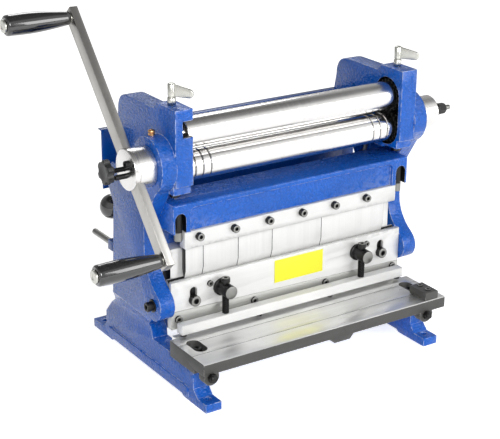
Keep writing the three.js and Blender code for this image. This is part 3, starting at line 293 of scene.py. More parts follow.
def new_finish(name, **fixed):
    """A material with its shader; the given sockets keep one value all over."""
    material = bpy.data.materials.new(name)
    material.use_nodes = True
    tree = material.node_tree
    shader = tree.nodes["Principled BSDF"]
    for key, value in fixed.items():
        shader.inputs[key.replace("_", " ")].default_value = value
    place = tree.nodes.new("ShaderNodeTexCoord").outputs["Object"]
    return material, tree, shader, place


def feed(tree, shader, colour, rough, metal=None):
    """Links the values that change over the surface to the shader."""
    tree.links.new(colour, shader.inputs["Base Color"])
    tree.links.new(rough, shader.inputs["Roughness"])
    if metal is not None:
        tree.links.new(metal, shader.inputs["Metallic"])


def bumped(tree, shader, height, strength, distance, normal=None):
    inputs = {"Strength": strength, "Distance": distance, "Height": height}
    if normal is not None:
        inputs["Normal"] = normal
    tree.links.new(add(tree, "ShaderNodeBump", inputs).outputs[0], shader.inputs["Normal"])


def rgba(colour, factor=1.0):
    return (*(min(1.0, channel * factor) for channel in colour), 1.0)


def paint(name, colour, dimples, depth, gloss, wear_and_highlight):
    """Stove paint over cast iron or sheet: dimpled where cast, glossy, and pale on its edges, partly paint
    thinned to metal and partly a painted highlight.
    """
    dust, thin_paint_and_highlight = (0.6, 0.62, 0.66, 1.0), (0.78, 0.82, 0.9, 1.0)
    material, tree, shader, place = new_finish(
        name, Coat_Weight=0.2, Coat_Roughness=0.1, Specular_IOR_Level=0.25
    )
    marks = use(tree, "Handling marks", Vector=place, Size=16.0)
    hammer = use(tree, "Hammered dimples", Vector=place, Scale=dimples)
    worn_and_highlit = use(tree, "Worn and highlit edges", Vector=place, Radius=0.0011, Amount=wear_and_highlight, Patches=150.0)
    tone = mixed(tree, hammer.outputs["Tone"], rgba(colour, 0.85), rgba(colour, 1.12))
    pooled = mixed(tree, maths(tree, "MULTIPLY", hammer.outputs["Height"], 0.5), tone, rgba(colour, 0.5))
    dusty = mixed(tree, maths(tree, "MULTIPLY", marks.outputs["Dust"], 0.12), pooled, dust)
    # The pale edge colour stands partly for paint thinned to metal and partly for a painted highlight along
    # the edges.
    bare_and_highlit = mixed(tree, worn_and_highlit.outputs["Mask"], dusty, thin_paint_and_highlight)
    metal = maths(tree, "MULTIPLY", worn_and_highlit.outputs["Mask"], 0.35)
    feed(tree, shader, bare_and_highlit, spread(tree, marks.outputs["Smudge"], 0.0, 1.0, gloss, gloss + 0.14), metal)
    bumped(tree, shader, hammer.outputs["Height"], 1.0, depth, worn_and_highlit.outputs["Normal"])
    return material


def steel(name, colour, rough, stretch, scratch, contrast=1.0, edge=0.0, smudge=0.1, metal=1.0, rim=1.25):
    """Bare steel whose grain runs the way it was ground, brushed or turned."""
    material, tree, shader, place = new_finish(name, Metallic=metal)
    marks = use(tree, "Handling marks", Vector=place, Size=24.0)
    grain = use(tree, "Machined grain", Vector=place, Stretch=stretch, Contrast=contrast)
    line = mixed(tree, grain.outputs["Grain"], rgba(colour, 0.86), rgba(colour, 1.08))
    streak = mixed(tree, maths(tree, "MULTIPLY", grain.outputs["Streak"], 0.3), line, rgba(colour, 0.8))
    film = mixed(tree, maths(tree, "MULTIPLY", marks.outputs["Smudge"], smudge), streak, rgba(colour, 0.55))
    low = spread(tree, grain.outputs["Grain"], 0.2, 0.8, rough * 0.8, rough * 1.25)
    rougher = maths(tree, "ADD", low, maths(tree, "MULTIPLY", marks.outputs["Smudge"], 0.08))
    eased = None
    # Where edge is given, the rounded edges take rim times the colour: a painted highlight where rim is above
    # 1, darker edges where it is below.
    if edge:
        worn_and_highlit = use(tree, "Worn and highlit edges", Vector=place, Radius=0.0006, Amount=edge, Patches=90.0)
        film = mixed(tree, worn_and_highlit.outputs["Mask"], film, rgba(colour, rim))
        eased = worn_and_highlit.outputs["Normal"]
    bumped(tree, shader, grain.outputs["Grain"], 0.5, scratch, eased)
    feed(tree, shader, film, rougher)
    return material


def dark_finish(name, colour, metallic, rough, pits, depth, wear_and_highlight, coat=0.0):
    """Blackened steel, grey casting paint or moulded plastic: dark, finely pitted, lighter at its edges,
    partly scuffed and partly a painted highlight.
    """
    dust, rubbed_and_highlit = (0.4, 0.39, 0.37, 1.0), rgba([channel * 4 + 0.3 for channel in colour])
    material, tree, shader, place = new_finish(name, Metallic=metallic, Coat_Weight=coat, Coat_Roughness=0.05)
    marks = use(tree, "Handling marks", Vector=place, Size=40.0)
    worn_and_highlit = use(tree, "Worn and highlit edges", Vector=place, Radius=0.0009, Amount=wear_and_highlight, Patches=260.0)
    specks = noise(tree, place, pits, 3.0)
    tone = mixed(tree, specks.outputs["Fac"], rgba(colour, 0.8), rgba(colour, 1.25))
    dusty = mixed(tree, maths(tree, "MULTIPLY", marks.outputs["Dust"], 0.15), tone, dust)
    bare_and_highlit = mixed(tree, worn_and_highlit.outputs["Mask"], dusty, rubbed_and_highlit)
    feed(tree, shader, bare_and_highlit, spread(tree, marks.outputs["Smudge"], 0.0, 1.0, rough, rough + 0.12))
    bumped(tree, shader, specks.outputs["Fac"], 0.6, depth, worn_and_highlit.outputs["Normal"])
    return material


def make_finish(name):
    """Every finish of the machine, by name."""
    looks = bpy.context.scene.slip_roll_finish
    along_x, turned, upright = (9.0, 1100.0, 1100.0), (1500.0, 30.0, 30.0), (1100.0, 1100.0, 9.0)
    plated, cast = (1500.0, 1500.0, 60.0), (500.0, 500.0, 500.0)
    fine, coarse = 0.00003, 0.00005
    thin_sheet = {"dimples": 900.0, "depth": 0.00002, "gloss": 0.22, "wear_and_highlight": 0.3}
    ground = {"rough": 0.4, "scratch": fine, "edge": 0.9, "smudge": 0.05, "metal": 0.2, "rim": 0.3}
    blade = {"scratch": fine, "edge": 0.8, "metal": 0.6, "rim": 0.3}
    table = {"scratch": fine, "contrast": 0.9, "smudge": 0.12, "metal": 0.8}
    polished = {"stretch": turned, "smudge": 0.06}
    hammered = {"dimples": looks.dimples, "depth": looks.dimple_depth, "gloss": 0.2, "wear_and_highlight": looks.wear_and_highlight}
    oxide = {"metallic": 0.5, "rough": 0.3, "pits": 1400.0, "depth": 0.00004, "wear_and_highlight": 0.85}
    gloss = {"metallic": 0.0, "rough": 0.1, "pits": 500.0, "depth": 0.00001, "wear_and_highlight": 0.0, "coat": 1.0}
    matt = {"metallic": 0.0, "rough": 0.42, "pits": 2200.0, "depth": coarse, "wear_and_highlight": 0.0}
    enamel = {"metallic": 0.0, "rough": 0.4, "pits": 700.0, "depth": 0.00001, "wear_and_highlight": 0.0}
    makers = {
        "hammered_paint": lambda: paint(name, looks.paint, **hammered),
        # The sheet blue is the casting blue at 0.6, a painted shade for the rear cover that lies in shadow.
        "shaded_sheet_paint": lambda: paint(name, [channel * 0.6 for channel in looks.paint], **thin_sheet),
        "ground_plate": lambda: steel(name, looks.plate, stretch=along_x, contrast=0.5, **ground),
        "finger_steel": lambda: steel(name, looks.plate, stretch=upright, contrast=0.6, **ground),
        "blade_steel": lambda: steel(name, (0.52, 0.52, 0.5), 0.32, along_x, **blade),
        "bar_steel": lambda: steel(name, looks.bar, 0.3, upright, coarse, edge=0.4),
        "roll_steel": lambda: steel(name, looks.roll, rough=0.17, scratch=0.00002, contrast=0.8, **polished),
        "hub_steel": lambda: steel(name, looks.roll, rough=0.2, scratch=fine, contrast=1.2, **polished),
        "table_steel": lambda: steel(name, looks.table, 0.3, along_x, **table),
        "zinc": lambda: steel(name, (0.56, 0.56, 0.52), 0.24, plated, 0.00002, contrast=0.5),
        "grey_metal": lambda: steel(name, (0.24, 0.24, 0.23), 0.3, turned, fine, edge=0.3),
        "brass": lambda: steel(name, looks.brass, 0.24, cast, fine, edge=0.3),
        # This black is the blackened steel of screws and gears, and also painted shade on faces that lie in
        # shadow.
        "black_oxide": lambda: dark_finish(name, (0.014, 0.014, 0.015), **oxide),
        "casting_grey": lambda: dark_finish(name, looks.grey, 0.1, 0.5, 1100.0, 0.00006, 0.45),
        "gloss_plastic": lambda: dark_finish(name, (0.004, 0.004, 0.0045), **gloss),
        "matt_plastic": lambda: dark_finish(name, (0.018, 0.018, 0.019), **matt),
        "yellow_enamel": lambda: dark_finish(name, looks.yellow, **enamel),
    }
    return makers[name]()


def finish(name):
    return bpy.data.materials.get(name) or make_finish(name)


# Modelling.


def alone(piece):
    """Leaves only this piece selected and active."""
    bpy.ops.object.select_all(action="DESELECT")
    piece.select_set(True)
    bpy.context.view_layer.objects.active = piece
    return piece


def fix_place():
    """Puts the place, turn and size of what is selected into its mesh."""
    bpy.ops.object.transform_apply(location=True, rotation=True, scale=True)


def name_piece(piece, name):
    piece.name = name
    piece.data.name = name
    return piece


def start(primitive, name, **shape):
    """Adds a primitive as a named piece, the only one selected."""
    bpy.ops.object.select_all(action="DESELECT")
    primitive(**shape)
    piece = name_piece(bpy.context.object, name)
    fix_place()
    return piece


def edit(piece):
    alone(piece)
    bpy.ops.object.mode_set(mode="EDIT")


def leave():
    bpy.ops.object.mode_set(mode="OBJECT")


def pick(piece, chosen):
    """In edit mode, selects the faces that chosen accepts and nothing else."""
    bpy.ops.mesh.select_mode(type="FACE")
    bpy.ops.mesh.select_all(action="DESELECT")
    mesh = bmesh.from_edit_mesh(piece.data)
    for face in mesh.faces:
        if chosen(face):
            face.select_set(True)
    bmesh.update_edit_mesh(piece.data)


def move(piece, foot, axis=UP, roll=0.0):
    """Stands a piece that was made upright at the origin on its foot, along its axis."""
    lean = Vector(UP).rotation_difference(Vector(axis)).to_matrix().to_4x4()
    piece.matrix_world = Matrix.Translation(foot) @ lean @ Matrix.Rotation(roll, 4, "Z")
    alone(piece)
    fix_place()
    return piece


def turn(name, stations, foot=None, axis=UP, sides=64):
    """A turned piece: its end face is drawn out and widened from station to station (along, radius)."""
    (low, first), (high, second) = stations[:2]
    middle = (low + high) / 2 * MM
    piece = start(
        bpy.ops.mesh.primitive_cone_add,
        name,
        vertices=sides,
        radius1=first * MM,
        radius2=second * MM,
        depth=(high - low) * MM,
        location=(0, 0, middle),
    )
    edit(piece)
    pick(piece, lambda face: len(face.verts) > 4 and face.calc_center_median().z > middle)
    last, width = high, second
    for along, radius in stations[2:]:
        bpy.ops.mesh.extrude_region_move(TRANSFORM_OT_translate={"value": (0, 0, (along - last) * MM)})
        ratio = radius / width
        bpy.ops.transform.resize(value=(ratio, ratio, 1), center_override=(0, 0, along * MM))
        last, width = along, radius
    leave()
    if foot is not None:
        move(piece, foot, axis)
    return piece


def threads(low, high, radius, pitch):
    """Stations of a thread: a crest and a root in every pitch, after a short lead."""
    lead, root = 0.4, radius * 0.86
    stations = [(low, radius * 0.82), (low + lead, radius)]
    along = low + lead
    while along + pitch < high:
        for share, width in ((0.2, radius), (0.55, root), (0.75, root), (1, radius)):
            stations.append((along + pitch * share, width))
        along += pitch
    return stations


def rounded(piece, width, segments=2, angle=32.0):
    """Breaks the sharp edges with a bevel."""
    alone(piece)
    bevel = piece.modifiers.new("edges", "BEVEL")
    bevel.width = width * MM
    bevel.segments = segments
    bevel.limit_method = "ANGLE"
    bevel.angle_limit = math.radians(angle)
    bevel.use_clamp_overlap = True
    bevel.miter_outer = "MITER_ARC"
    bpy.ops.object.modifier_apply(modifier=bevel.name)
    return piece


def cut(piece, tool, operation="DIFFERENCE"):
    """Cuts the tool's shape out, or keeps what both share, and takes the tool away."""
    alone(piece)
    boolean = piece.modifiers.new("cut", "BOOLEAN")
    boolean.object = tool
    boolean.operation = operation
    boolean.solver = "EXACT"
    bpy.ops.object.modifier_apply(modifier=boolean.name)
    bpy.data.objects.remove(tool)
    return piece


def join(name, *pieces):
    """Makes one piece of several."""
    bpy.ops.object.select_all(action="DESELECT")
    for piece in pieces:
        piece.select_set(True)
    bpy.context.view_layer.objects.active = pieces[0]
    bpy.ops.object.join()
    return name_piece(pieces[0], name)


def prism(name, outline, thick):
    """A flat plate, standing on the outline given as x and z, centred on y."""
    mesh = bpy.data.meshes.new(name)
    points = [(x * MM, side * thick / 2 * MM, z * MM) for side in (-1, 1) for x, z in outline]
    count = len(outline)
    faces = [list(range(count)), list(range(2 * count - 1, count - 1, -1))]
    for i in range(count):
        ahead = (i + 1) % count
        faces.append([i, i + count, ahead + count, ahead])
    mesh.from_pydata(points, [], faces)
    mesh.update()
    piece = bpy.data.objects.new(name, mesh)
    bpy.context.scene.collection.objects.link(piece)
    return piece


def hexagon(name, radius, height, foot, axis=UP, roll=0.0):
    """A chamfered hexagon nut or bolt head, standing on its foot, rolled about its axis."""
    piece = start(
        bpy.ops.mesh.primitive_cylinder_add,
        name,
        vertices=6,
        radius=radius * MM,
        depth=height * MM,
        location=(0, 0, height / 2 * MM),
    )
    slope, corner, over = radius * 0.1, radius * 0.9, 0.01
    stations = [(-over, corner), (slope, radius), (height - slope, radius), (height + over, corner)]
    cut(piece, turn("chamfer", stations, sides=48), "INTERSECT")
    return move(piece, foot, axis, roll)


def cap_screw(radius, height, socket, sides=40):
    """A cap screw head, upright at the origin, with a broken rim and a hexagon socket."""
    edge = radius * 0.14
    stations = [
        (-0.4, radius),
        (height - edge, radius),
        (height - edge * 0.3, radius - edge * 0.3),
        (height, radius - edge),
        (height, socket * 1.25),
        (height - 0.25, socket * 1.1),
    ]
    head = turn("cap_screw", stations, sides=sides)
    key = start(
        bpy.ops.mesh.primitive_cylinder_add,
        "socket",
        vertices=6,
        radius=socket * MM,
        depth=height * 1.1 * MM,
        location=(0, 0, height * MM),
    )
    return cut(head, key)


def hang(piece, look, node, angle=30.0):
    """Shades a finished piece, gives it its finish, and hangs it on the node's body."""
    alone(piece)
    bpy.ops.object.shade_smooth_by_angle(angle=math.radians(angle))
    piece.data.materials.clear()
    piece.data.materials.append(finish(look))
    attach(piece, frame["nodes"][node]["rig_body"])
    return piece


def settle(piece, look, node, angle=30.0):
    """Hangs a piece on the node's body, and lets it stand for the node."""
    hang(piece, look, node, angle)
    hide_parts(node)
    return piece


def repaint(piece, look, chosen):
    """Gives the chosen faces a second finish."""
    piece.data.materials.append(finish(look))
    for face in piece.data.polygons:
        if chosen(face.center, face.normal):
            face.material_index = 1
    return piece


def crowned(piece, spots, axis, height):
    """Black screws whose flat end, height above its seat, is painted lighter grey round the socket."""
    axis = Vector(axis)
    levels = [spot.dot(axis) + (height - 0.1) * MM for spot in spots]

    def on_end(centre, normal):
        return normal.dot(axis) > 0.8 and any(abs(centre.dot(axis) - level) < 0.25 * MM for level in levels)

    return repaint(piece, "grey_metal", on_end)


def cap_screws(name, sizes, spots, axis, node, sides=40):
    """Like screws that stand on their spots along one axis, as one piece on the node's body."""
    master = cap_screw(*sizes, sides=sides)
    made = []
    for spot in spots:
        alone(master)
        bpy.ops.object.duplicate()
        made.append(move(bpy.context.object, spot, axis))
    bpy.data.objects.remove(master)
    return hang(join(name, *made), "black_oxide", node)


def node_copy(node, name):
    """A merged copy of a CAD node, free to be shaped."""
    alone(frame["nodes"][node])
    bpy.ops.object.duplicate()
    piece = name_piece(bpy.context.object, name)
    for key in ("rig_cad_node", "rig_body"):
        if key in piece:
            del piece[key]
    piece.parent = None
    edit(piece)
    bpy.ops.mesh.select_all(action="SELECT")
    bpy.ops.mesh.customdata_custom_splitnormals_clear()
    bpy.ops.mesh.remove_doubles(threshold=0.00001)
    bpy.ops.mesh.dissolve_limited(angle_limit=math.radians(0.6))
    leave()
    return piece


def unscrewed(piece, spots, reach, axis):
    """Takes a node's plain screw heads away round the spots, and closes the holes they leave."""
    axis = Vector(axis)
    seat = spots[0].dot(axis) + 0.01 * MM
    across = [i for i in range(3) if not axis[i]]

    def on_head(face):
        centre = face.calc_center_median()
        aside = [math.hypot(*(centre[i] - spot[i] for i in across)) for spot in spots]
        return centre.dot(axis) > seat and min(aside) < reach * MM

    edit(piece)
    pick(piece, on_head)
    bpy.ops.mesh.delete(type="FACE")
    bpy.ops.mesh.select_all(action="SELECT")
    bpy.ops.mesh.fill_holes(sides=0)
    leave()
    return piece


def dressed(node, name, look, edge, segments=2, angle=30.0):
    """A rounded copy of a node in its finish, which stands for the node."""
    return settle(rounded(node_copy(node, name), edge, segments), look, node, angle)


def both(x, y, z):
    """The same place at the left and at the right of the machine."""
    return [at(side * x, y, z) for _, side in SIDES]


# Settings.


class SlipRollFinish(PropertyGroup):
    """Colours and textures of the machine's finishes."""

    paint: FloatVectorProperty(name="Paint", description="Blue of the castings", subtype="COLOR",
                               default=(0.004, 0.12, 0.58), min=0.0, max=1.0)
    plate: FloatVectorProperty(name="Plates", description="Ground plates and fingers", subtype="COLOR",
                               default=(0.78, 0.78, 0.77), min=0.0, max=1.0)
    bar: FloatVectorProperty(name="Bars", description="Square bar of the crank", subtype="COLOR",
                             default=(0.45, 0.44, 0.42), min=0.0, max=1.0)
    roll: FloatVectorProperty(name="Rolls", description="Polished rolls and hubs", subtype="COLOR",
                              default=(0.72, 0.71, 0.7), min=0.0, max=1.0)
    table: FloatVectorProperty(name="Table", description="Ground top of the table", subtype="COLOR",
                               default=(0.8, 0.8, 0.79), min=0.0, max=1.0)
    grey: FloatVectorProperty(name="Grey paint", description="Sides of the table and stop", subtype="COLOR",
                              default=(0.055, 0.055, 0.052), min=0.0, max=1.0)
    brass: FloatVectorProperty(name="Brass", description="Oil cups", subtype="COLOR",
                               default=(0.8, 0.36, 0.12), min=0.0, max=1.0)
    yellow: FloatVectorProperty(name="Yellow", description="Bare plate on the ram", subtype="COLOR",
                                default=(0.97, 0.86, 0.03), min=0.0, max=1.0)
    dimples: FloatProperty(name="Dimples", description="Hammered cells in a metre", default=340.0, min=50.0)
    dimple_depth: FloatProperty(name="Dimple depth", description="Height of the hammered cells",
                                default=0.0006, min=0.0, subtype="DISTANCE", unit="LENGTH", precision=5)
    # Sets how pale the cast edges are: partly paint thinned to metal, partly a painted highlight.
    wear_and_highlight: FloatProperty(name="Wear", description="How bare the edges of the castings are",
                        default=0.7, min=0.0, max=1.0, subtype="FACTOR")


class SlipRollForm(PropertyGroup):
    """Sizes of the fine shapes."""

    cast_edge: FloatProperty(name="Casting edge", description="Rounding of cast edges, in millimetres",
                             default=1.1, min=0.0, max=3.0)
    plate_edge: FloatProperty(name="Plate edge", description="Broken edge of ground plates, in millimetres",
                              default=0.3, min=0.0, max=1.0)
    roll_sides: IntProperty(name="Roll sides", description="Facets round a roll", default=96, min=24, max=256)
    thread_pitch: FloatProperty(name="Thread pitch", description="Pitch of the stud threads, in millimetres",
                                default=1.25, min=0.5, max=3.0)


class SlipRollStage(PropertyGroup):
    """Camera, floor and studio light."""

    place: FloatVectorProperty(name="Camera place", description="Where the camera stands",
                               subtype="TRANSLATION", unit="LENGTH", default=(-0.91194, -1.37378, 0.80717))
    aim: FloatVectorProperty(name="Camera turn", description="How the camera is turned", subtype="EULER",
                             default=(1.202772, -0.007813, -0.580827))
    lens: FloatProperty(name="Lens", description="Focal length, in millimetres", default=99.127, min=20.0)
    sky: FloatProperty(name="Sky", description="Strength of the light from all round", default=0.2, min=0.0)
    key: FloatProperty(name="Key", description="Power of the lamp at the front left", default=37.0, min=0.0)
    floor: FloatProperty(name="Floor", description="Width of the floor", default=30.0, min=1.0,
                         subtype="DISTANCE", unit="LENGTH")


# Operators.


class SLIPROLL_OT_stage(Operator):
    """Make the pale floor, the soft studio light and the camera"""

    bl_idname = "slip_roll.stage"
    bl_label = "Stage"

    def execute(self, context):
        given = context.scene.slip_roll_stage
        self.camera(context, given)
        self.floor(given)
        self.sky(context, given)
        self.lamps(given)
        context.scene.view_settings.view_transform = "Standard"
        return {"FINISHED"}

    def camera(self, context, given):
        bpy.ops.object.camera_add(location=given.place, rotation=given.aim)
        camera = context.object
        camera.data.lens = given.lens
        camera.data.sensor_width = 36.0
        camera.data.clip_start = 0.05
        camera.data.clip_end = 100.0
        context.scene.camera = camera

    def seen_by(self, tree):
        """Rays that reflect, and rays from the camera, also through glass."""
        seen = add(tree, "ShaderNodeLightPath").outputs
        viewed = maths(tree, "MAXIMUM", seen["Is Camera Ray"], seen["Is Transmission Ray"])
        return seen["Is Glossy Ray"], viewed

    def floor(self, given):
        """A matt floor that is pale where it is seen or reflected, and lights nothing."""
        floor = start(bpy.ops.mesh.primitive_plane_add, "floor", size=given.floor)
        material, tree, shader, _ = new_finish("pale_floor", Roughness=0.95)
        shader.inputs["Base Color"].default_value = (0.93, 0.93, 0.93, 1.0)
        shader.inputs["Emission Color"].default_value = (1.0, 1.0, 1.0, 1.0)
        reflected, viewed = self.seen_by(tree)
        pale, mirrored = maths(tree, "MULTIPLY", viewed, 0.7), maths(tree, "MULTIPLY", reflected, 0.8)
        tree.links.new(maths(tree, "MAXIMUM", pale, mirrored), shader.inputs["Emission Strength"])
        floor.data.materials.append(material)

    def sky(self, context, given):
        """White to the camera; metal reflects it bright in front, dimmer behind, above and at the floor."""
        world = bpy.data.worlds.new("studio")
        context.scene.world = world
        world.use_nodes = True
        tree = world.node_tree
        tree.nodes.clear()
        round_about = add(tree, "ShaderNodeTexCoord").outputs["Generated"]
        heading = add(tree, "ShaderNodeSeparateXYZ", {0: round_about})
        front = spread(tree, heading.outputs["Y"], -0.3, 0.3, 1.1, 0.46)
        zenith = spread(tree, heading.outputs["Z"], 0.68, 0.8, 1.0, 0.3)
        horizon = spread(tree, heading.outputs["Z"], 0.0, 0.05, 0.2, 1.0)
        shown = maths(tree, "MULTIPLY", maths(tree, "MULTIPLY", front, zenith), horizon)
        reflected, viewed = self.seen_by(tree)
        strength = add(tree, "ShaderNodeMix", {0: reflected, 2: given.sky, 3: shown}).outputs[0]
        strength = add(tree, "ShaderNodeMix", {0: viewed, 2: strength, 3: 1.0}).outputs[0]
        light = add(tree, "ShaderNodeBackground", {"Color": (1.0, 1.0, 1.0, 1.0), "Strength": strength})
        add(tree, "ShaderNodeOutputWorld", {"Surface": light.outputs[0]})

    def lamps(self, given):
        """Square lamps that look at the middle of the machine: name, place, width and share of the key."""
        centre = Vector((0.0, 0.0, 0.2))
        for name, place, size, share in (
            ("key_lamp", (-1.1, -2.0, 1.3), 0.8, 1.0),
            ("front_lamp", (1.2, -2.0, 0.9), 1.2, 0.65),
            ("rear_lamp", (0.9, 1.8, 1.7), 1.0, 0.3),
        ):
            bpy.ops.object.light_add(type="AREA", location=place)
            lamp = bpy.context.object
            lamp.name = name
            lamp.data.shape = "RECTANGLE"
            lamp.data.size = size
            lamp.data.size_y = size
            lamp.data.energy = given.key * share
            lamp.rotation_euler = (Vector(place) - centre).to_track_quat("Z", "Y").to_euler()


class SLIPROLL_OT_castings(Operator):
    """Finish the painted castings: side frames, bed, rear tie and front beam"""

    bl_idname = "slip_roll.castings"
    bl_label = "Castings"

    def execute(self, context):
        edge = context.scene.slip_roll_form.cast_edge
        for node in ("left_side_frame", "right_side_frame", "bed_casting", "rear_tie"):
            name = node.replace("frame", "casting") + "_painted"
            casting = dressed(node, name, "hammered_paint", edge, angle=40.0)
            # The faces inside the gear pockets are black as painted shade of the deep pockets.
            repaint(casting, "black_oxide", self.in_pocket)
        name, edge = "front_beam_painted", edge * 0.7
        beam = dressed("front_beam", name, "hammered_paint", edge, angle=40.0)
        # The faces inside the arches over the hanger bolts are black as painted shade.
        repaint(beam, "black_oxide", self.in_arch)
        stations = [(0, 4.6), (0.4, 5.1), (11, 5.1)]
        ends = [turn("end", stations, foot, sides=40) for foot in both(HANGER_X, HANGER_Y, 191.95)]
        hang(join("hanger_ends", *ends), "grey_metal", "front_beam")
        return {"FINISHED"}

    def in_arch(self, centre, normal):
        """Whether a face of the beam lies inside the arch over a hanger bolt."""
        front, back, floor, top, half_width = HANGER_Y - 6.6, HANGER_Y + 7.4, 203.5, 228.3, 7.7
        aside, depth, height = place_of(centre)
        return (abs(aside - HANGER_X) < half_width and front < depth < back and height < top
                and (height > floor or normal.z > -0.5))

    def in_pocket(self, centre, normal):
        """Whether a face lies inside one of the gear pockets."""
        inner, outer, radius = 154.9, 176.8, 24.3
        aside, depth, height = place_of(centre)
        beyond = max(0, height - UPPER_ROLL[1], LOWER_ROLL[1] - height)
        return inner < aside < outer and math.hypot(depth - UPPER_ROLL[0], beyond) < radius


class SLIPROLL_OT_cover(Operator):
    """Finish the folded rear cover"""

    bl_idname = "slip_roll.cover"
    bl_label = "Rear cover"

    def execute(self, context):
        spots = both(166, 131.8, 262)
        sheet = rounded(unscrewed(node_copy("rear_cover", "rear_cover_sheet"), spots, 4.8, REAR), 0.4)
        corner = prism("corner", [(175.5, 178), (195, 178), (195, 223.3), (175.5, 223.3)], 1.4)
        sheet = join("rear_cover_sheet", sheet, move(corner, at(0, 131.05, 0)))
        settle(sheet, "shaded_sheet_paint", "rear_cover")
        screws = cap_screws("cover_screws", (4.5, 3.0, 2.0), spots, REAR, "rear_cover")
        crowned(screws, spots, REAR, 3.0)
        return {"FINISHED"}


class SLIPROLL_OT_brake(Operator):
    """Finish the press brake: clamp bar with its screws, five fingers, die and slotted plate"""

    bl_idname = "slip_roll.brake"
    bl_label = "Press brake"

    def execute(self, context):
        edge = context.scene.slip_roll_form.plate_edge
        self.clamp_bar(edge)
        for i in range(1, 6):
            finger = dressed(f"finger_{i}", f"finger_{i}_ground", "finger_steel", edge)
            # The fingers' side faces are black as painted shade in the gaps between them.
            repaint(finger, "black_oxide", lambda centre, normal: abs(normal.x) > 0.3)
        die = dressed("v_die", "v_die_ground", "ground_plate", edge)
        # The die's front face, seen through the plate's slots, is black as painted shade inside the slots.
        repaint(die, "black_oxide", lambda centre, normal: normal.y < -0.5)
        carrier = dressed("ram_carrier", "ram_carrier_ground", "ground_plate", edge)
        # The carrier's rear and end faces are black as painted shade.
        repaint(carrier, "black_oxide", lambda centre, normal: normal.y > 0.5 or abs(normal.x) > 0.5)
        self.ram_plate(edge)
        dressed("blank_plate", "blank_plate_enamel", "yellow_enamel", 0.25)
        return {"FINISHED"}

    def clamp_bar(self, edge):
        first, step, count = -141, 50.4, 6
        spots = [at(first + i * step, -7, 194.5) for i in range(count)]
        bar = unscrewed(node_copy("finger_clamp_bar", "finger_clamp_bar_ground"), spots, 5.3, FRONT)
        settle(rounded(bar, edge), "ground_plate", "finger_clamp_bar")
        screws = cap_screws("clamp_screws", (5.0, 6.5, 2.6), spots, FRONT, "finger_clamp_bar")
        crowned(screws, spots, FRONT, 6.5)

    def ram_plate(self, edge):
        guides, small = both(144.6, PLATE_FRONT, 108.8), both(121.3, PLATE_FRONT, 125.5)
        plate = unscrewed(node_copy("slotted_plate", "slotted_plate_ground"), small, 4.2, FRONT)
        settle(rounded(plate, edge), "ground_plate", "slotted_plate")

        def on_guide(centre, normal):
            aside, depth, height = place_of(centre)
            return depth < PLATE_FRONT - 0.01 and math.hypot(aside - 144.6, height - 108.8) < 7.2

        repaint(plate, "black_oxide", on_guide)
        screws = cap_screws("guide_screws", (6.9, 7.2, 3.1), guides, FRONT, "slotted_plate")
        crowned(screws, guides, FRONT, 7.2)
        screws = cap_screws("plate_screws", (3.9, 3.0, 1.6), small, FRONT, "slotted_plate", sides=32)
        crowned(screws, small, FRONT, 3.0)


class SLIPROLL_OT_shear(Operator):
    """Finish the shear: table, both blades, side stop and the table bolts"""

    bl_idname = "slip_roll.shear"
    bl_label = "Shear"

    def execute(self, context):
        edge = context.scene.slip_roll_form.plate_edge
        self.table(edge)
        self.blades(edge)
        self.stop(edge)
        self.bolt("left_table_bolt", -174)
        self.bolt("right_table_bolt", 154)
        return {"FINISHED"}

    def table(self, edge):
        spots = both(164.6, -40, TABLE_TOP - 8)
        table = unscrewed(node_copy("shear_table", "shear_table_ground"), spots, 6.9, UP)
        settle(rounded(table, edge * 2), "casting_grey", "shear_table")
        lowest = (TABLE_TOP - 2) * MM
        repaint(table, "table_steel", lambda centre, normal: normal.z > 0.5 and centre.z > lowest)
        cap_screws("table_screws", (6.6, 6.0, 3.2), spots, UP, "shear_table")

    def blades(self, edge):
        """The upper blade slants down to the right, and its four screws with it."""
        left_x, left_z, right_z, count = -166.4, 87.6, 84, 4
        spots = []
        for i in range(count):
            share = i / (count - 1)
            spots.append(at(left_x * (1 - 2 * share), PLATE_FRONT, left_z + (right_z - left_z) * share))
        upper = unscrewed(node_copy("upper_shear_blade", "upper_blade_ground"), spots, 5.5, FRONT)
        settle(rounded(upper, edge), "blade_steel", "upper_shear_blade")
        screws = cap_screws("blade_screws", (5.0, 2.6, 2.4), spots, FRONT, "upper_shear_blade")
        crowned(screws, spots, FRONT, 2.6)
        dressed("lower_shear_blade", "lower_blade_ground", "table_steel", edge)

    def stop(self, edge):
        spots = [at(162.5, -71.95 + side * 8, TABLE_TOP + 11) for _, side in SIDES]
        stop = unscrewed(node_copy("side_stop", "side_stop_block"), spots, 6.0, UP)
        settle(rounded(stop, edge), "casting_grey", "side_stop")
        screws = cap_screws("stop_screws", (4.0, 1.6, 2.0), spots, UP, "side_stop")
        crowned(screws, spots, UP, 1.6)

    def bolt(self, node, x):
        radius, plain, end = 3.2, 20.3, 28.0
        stations = [(0, 2.6), (0.6, radius), (plain, radius)] + threads(plain, end, radius, 1.0)
        shank = turn("shank", stations, at(x, -69, 49.5), FRONT, 32)
        nut = hexagon("nut", 6.0, 4.5, at(x, -69 - plain, 49.5), FRONT, roll=0.3)
        settle(join(f"{node}_threaded", shank, nut), "black_oxide", node)


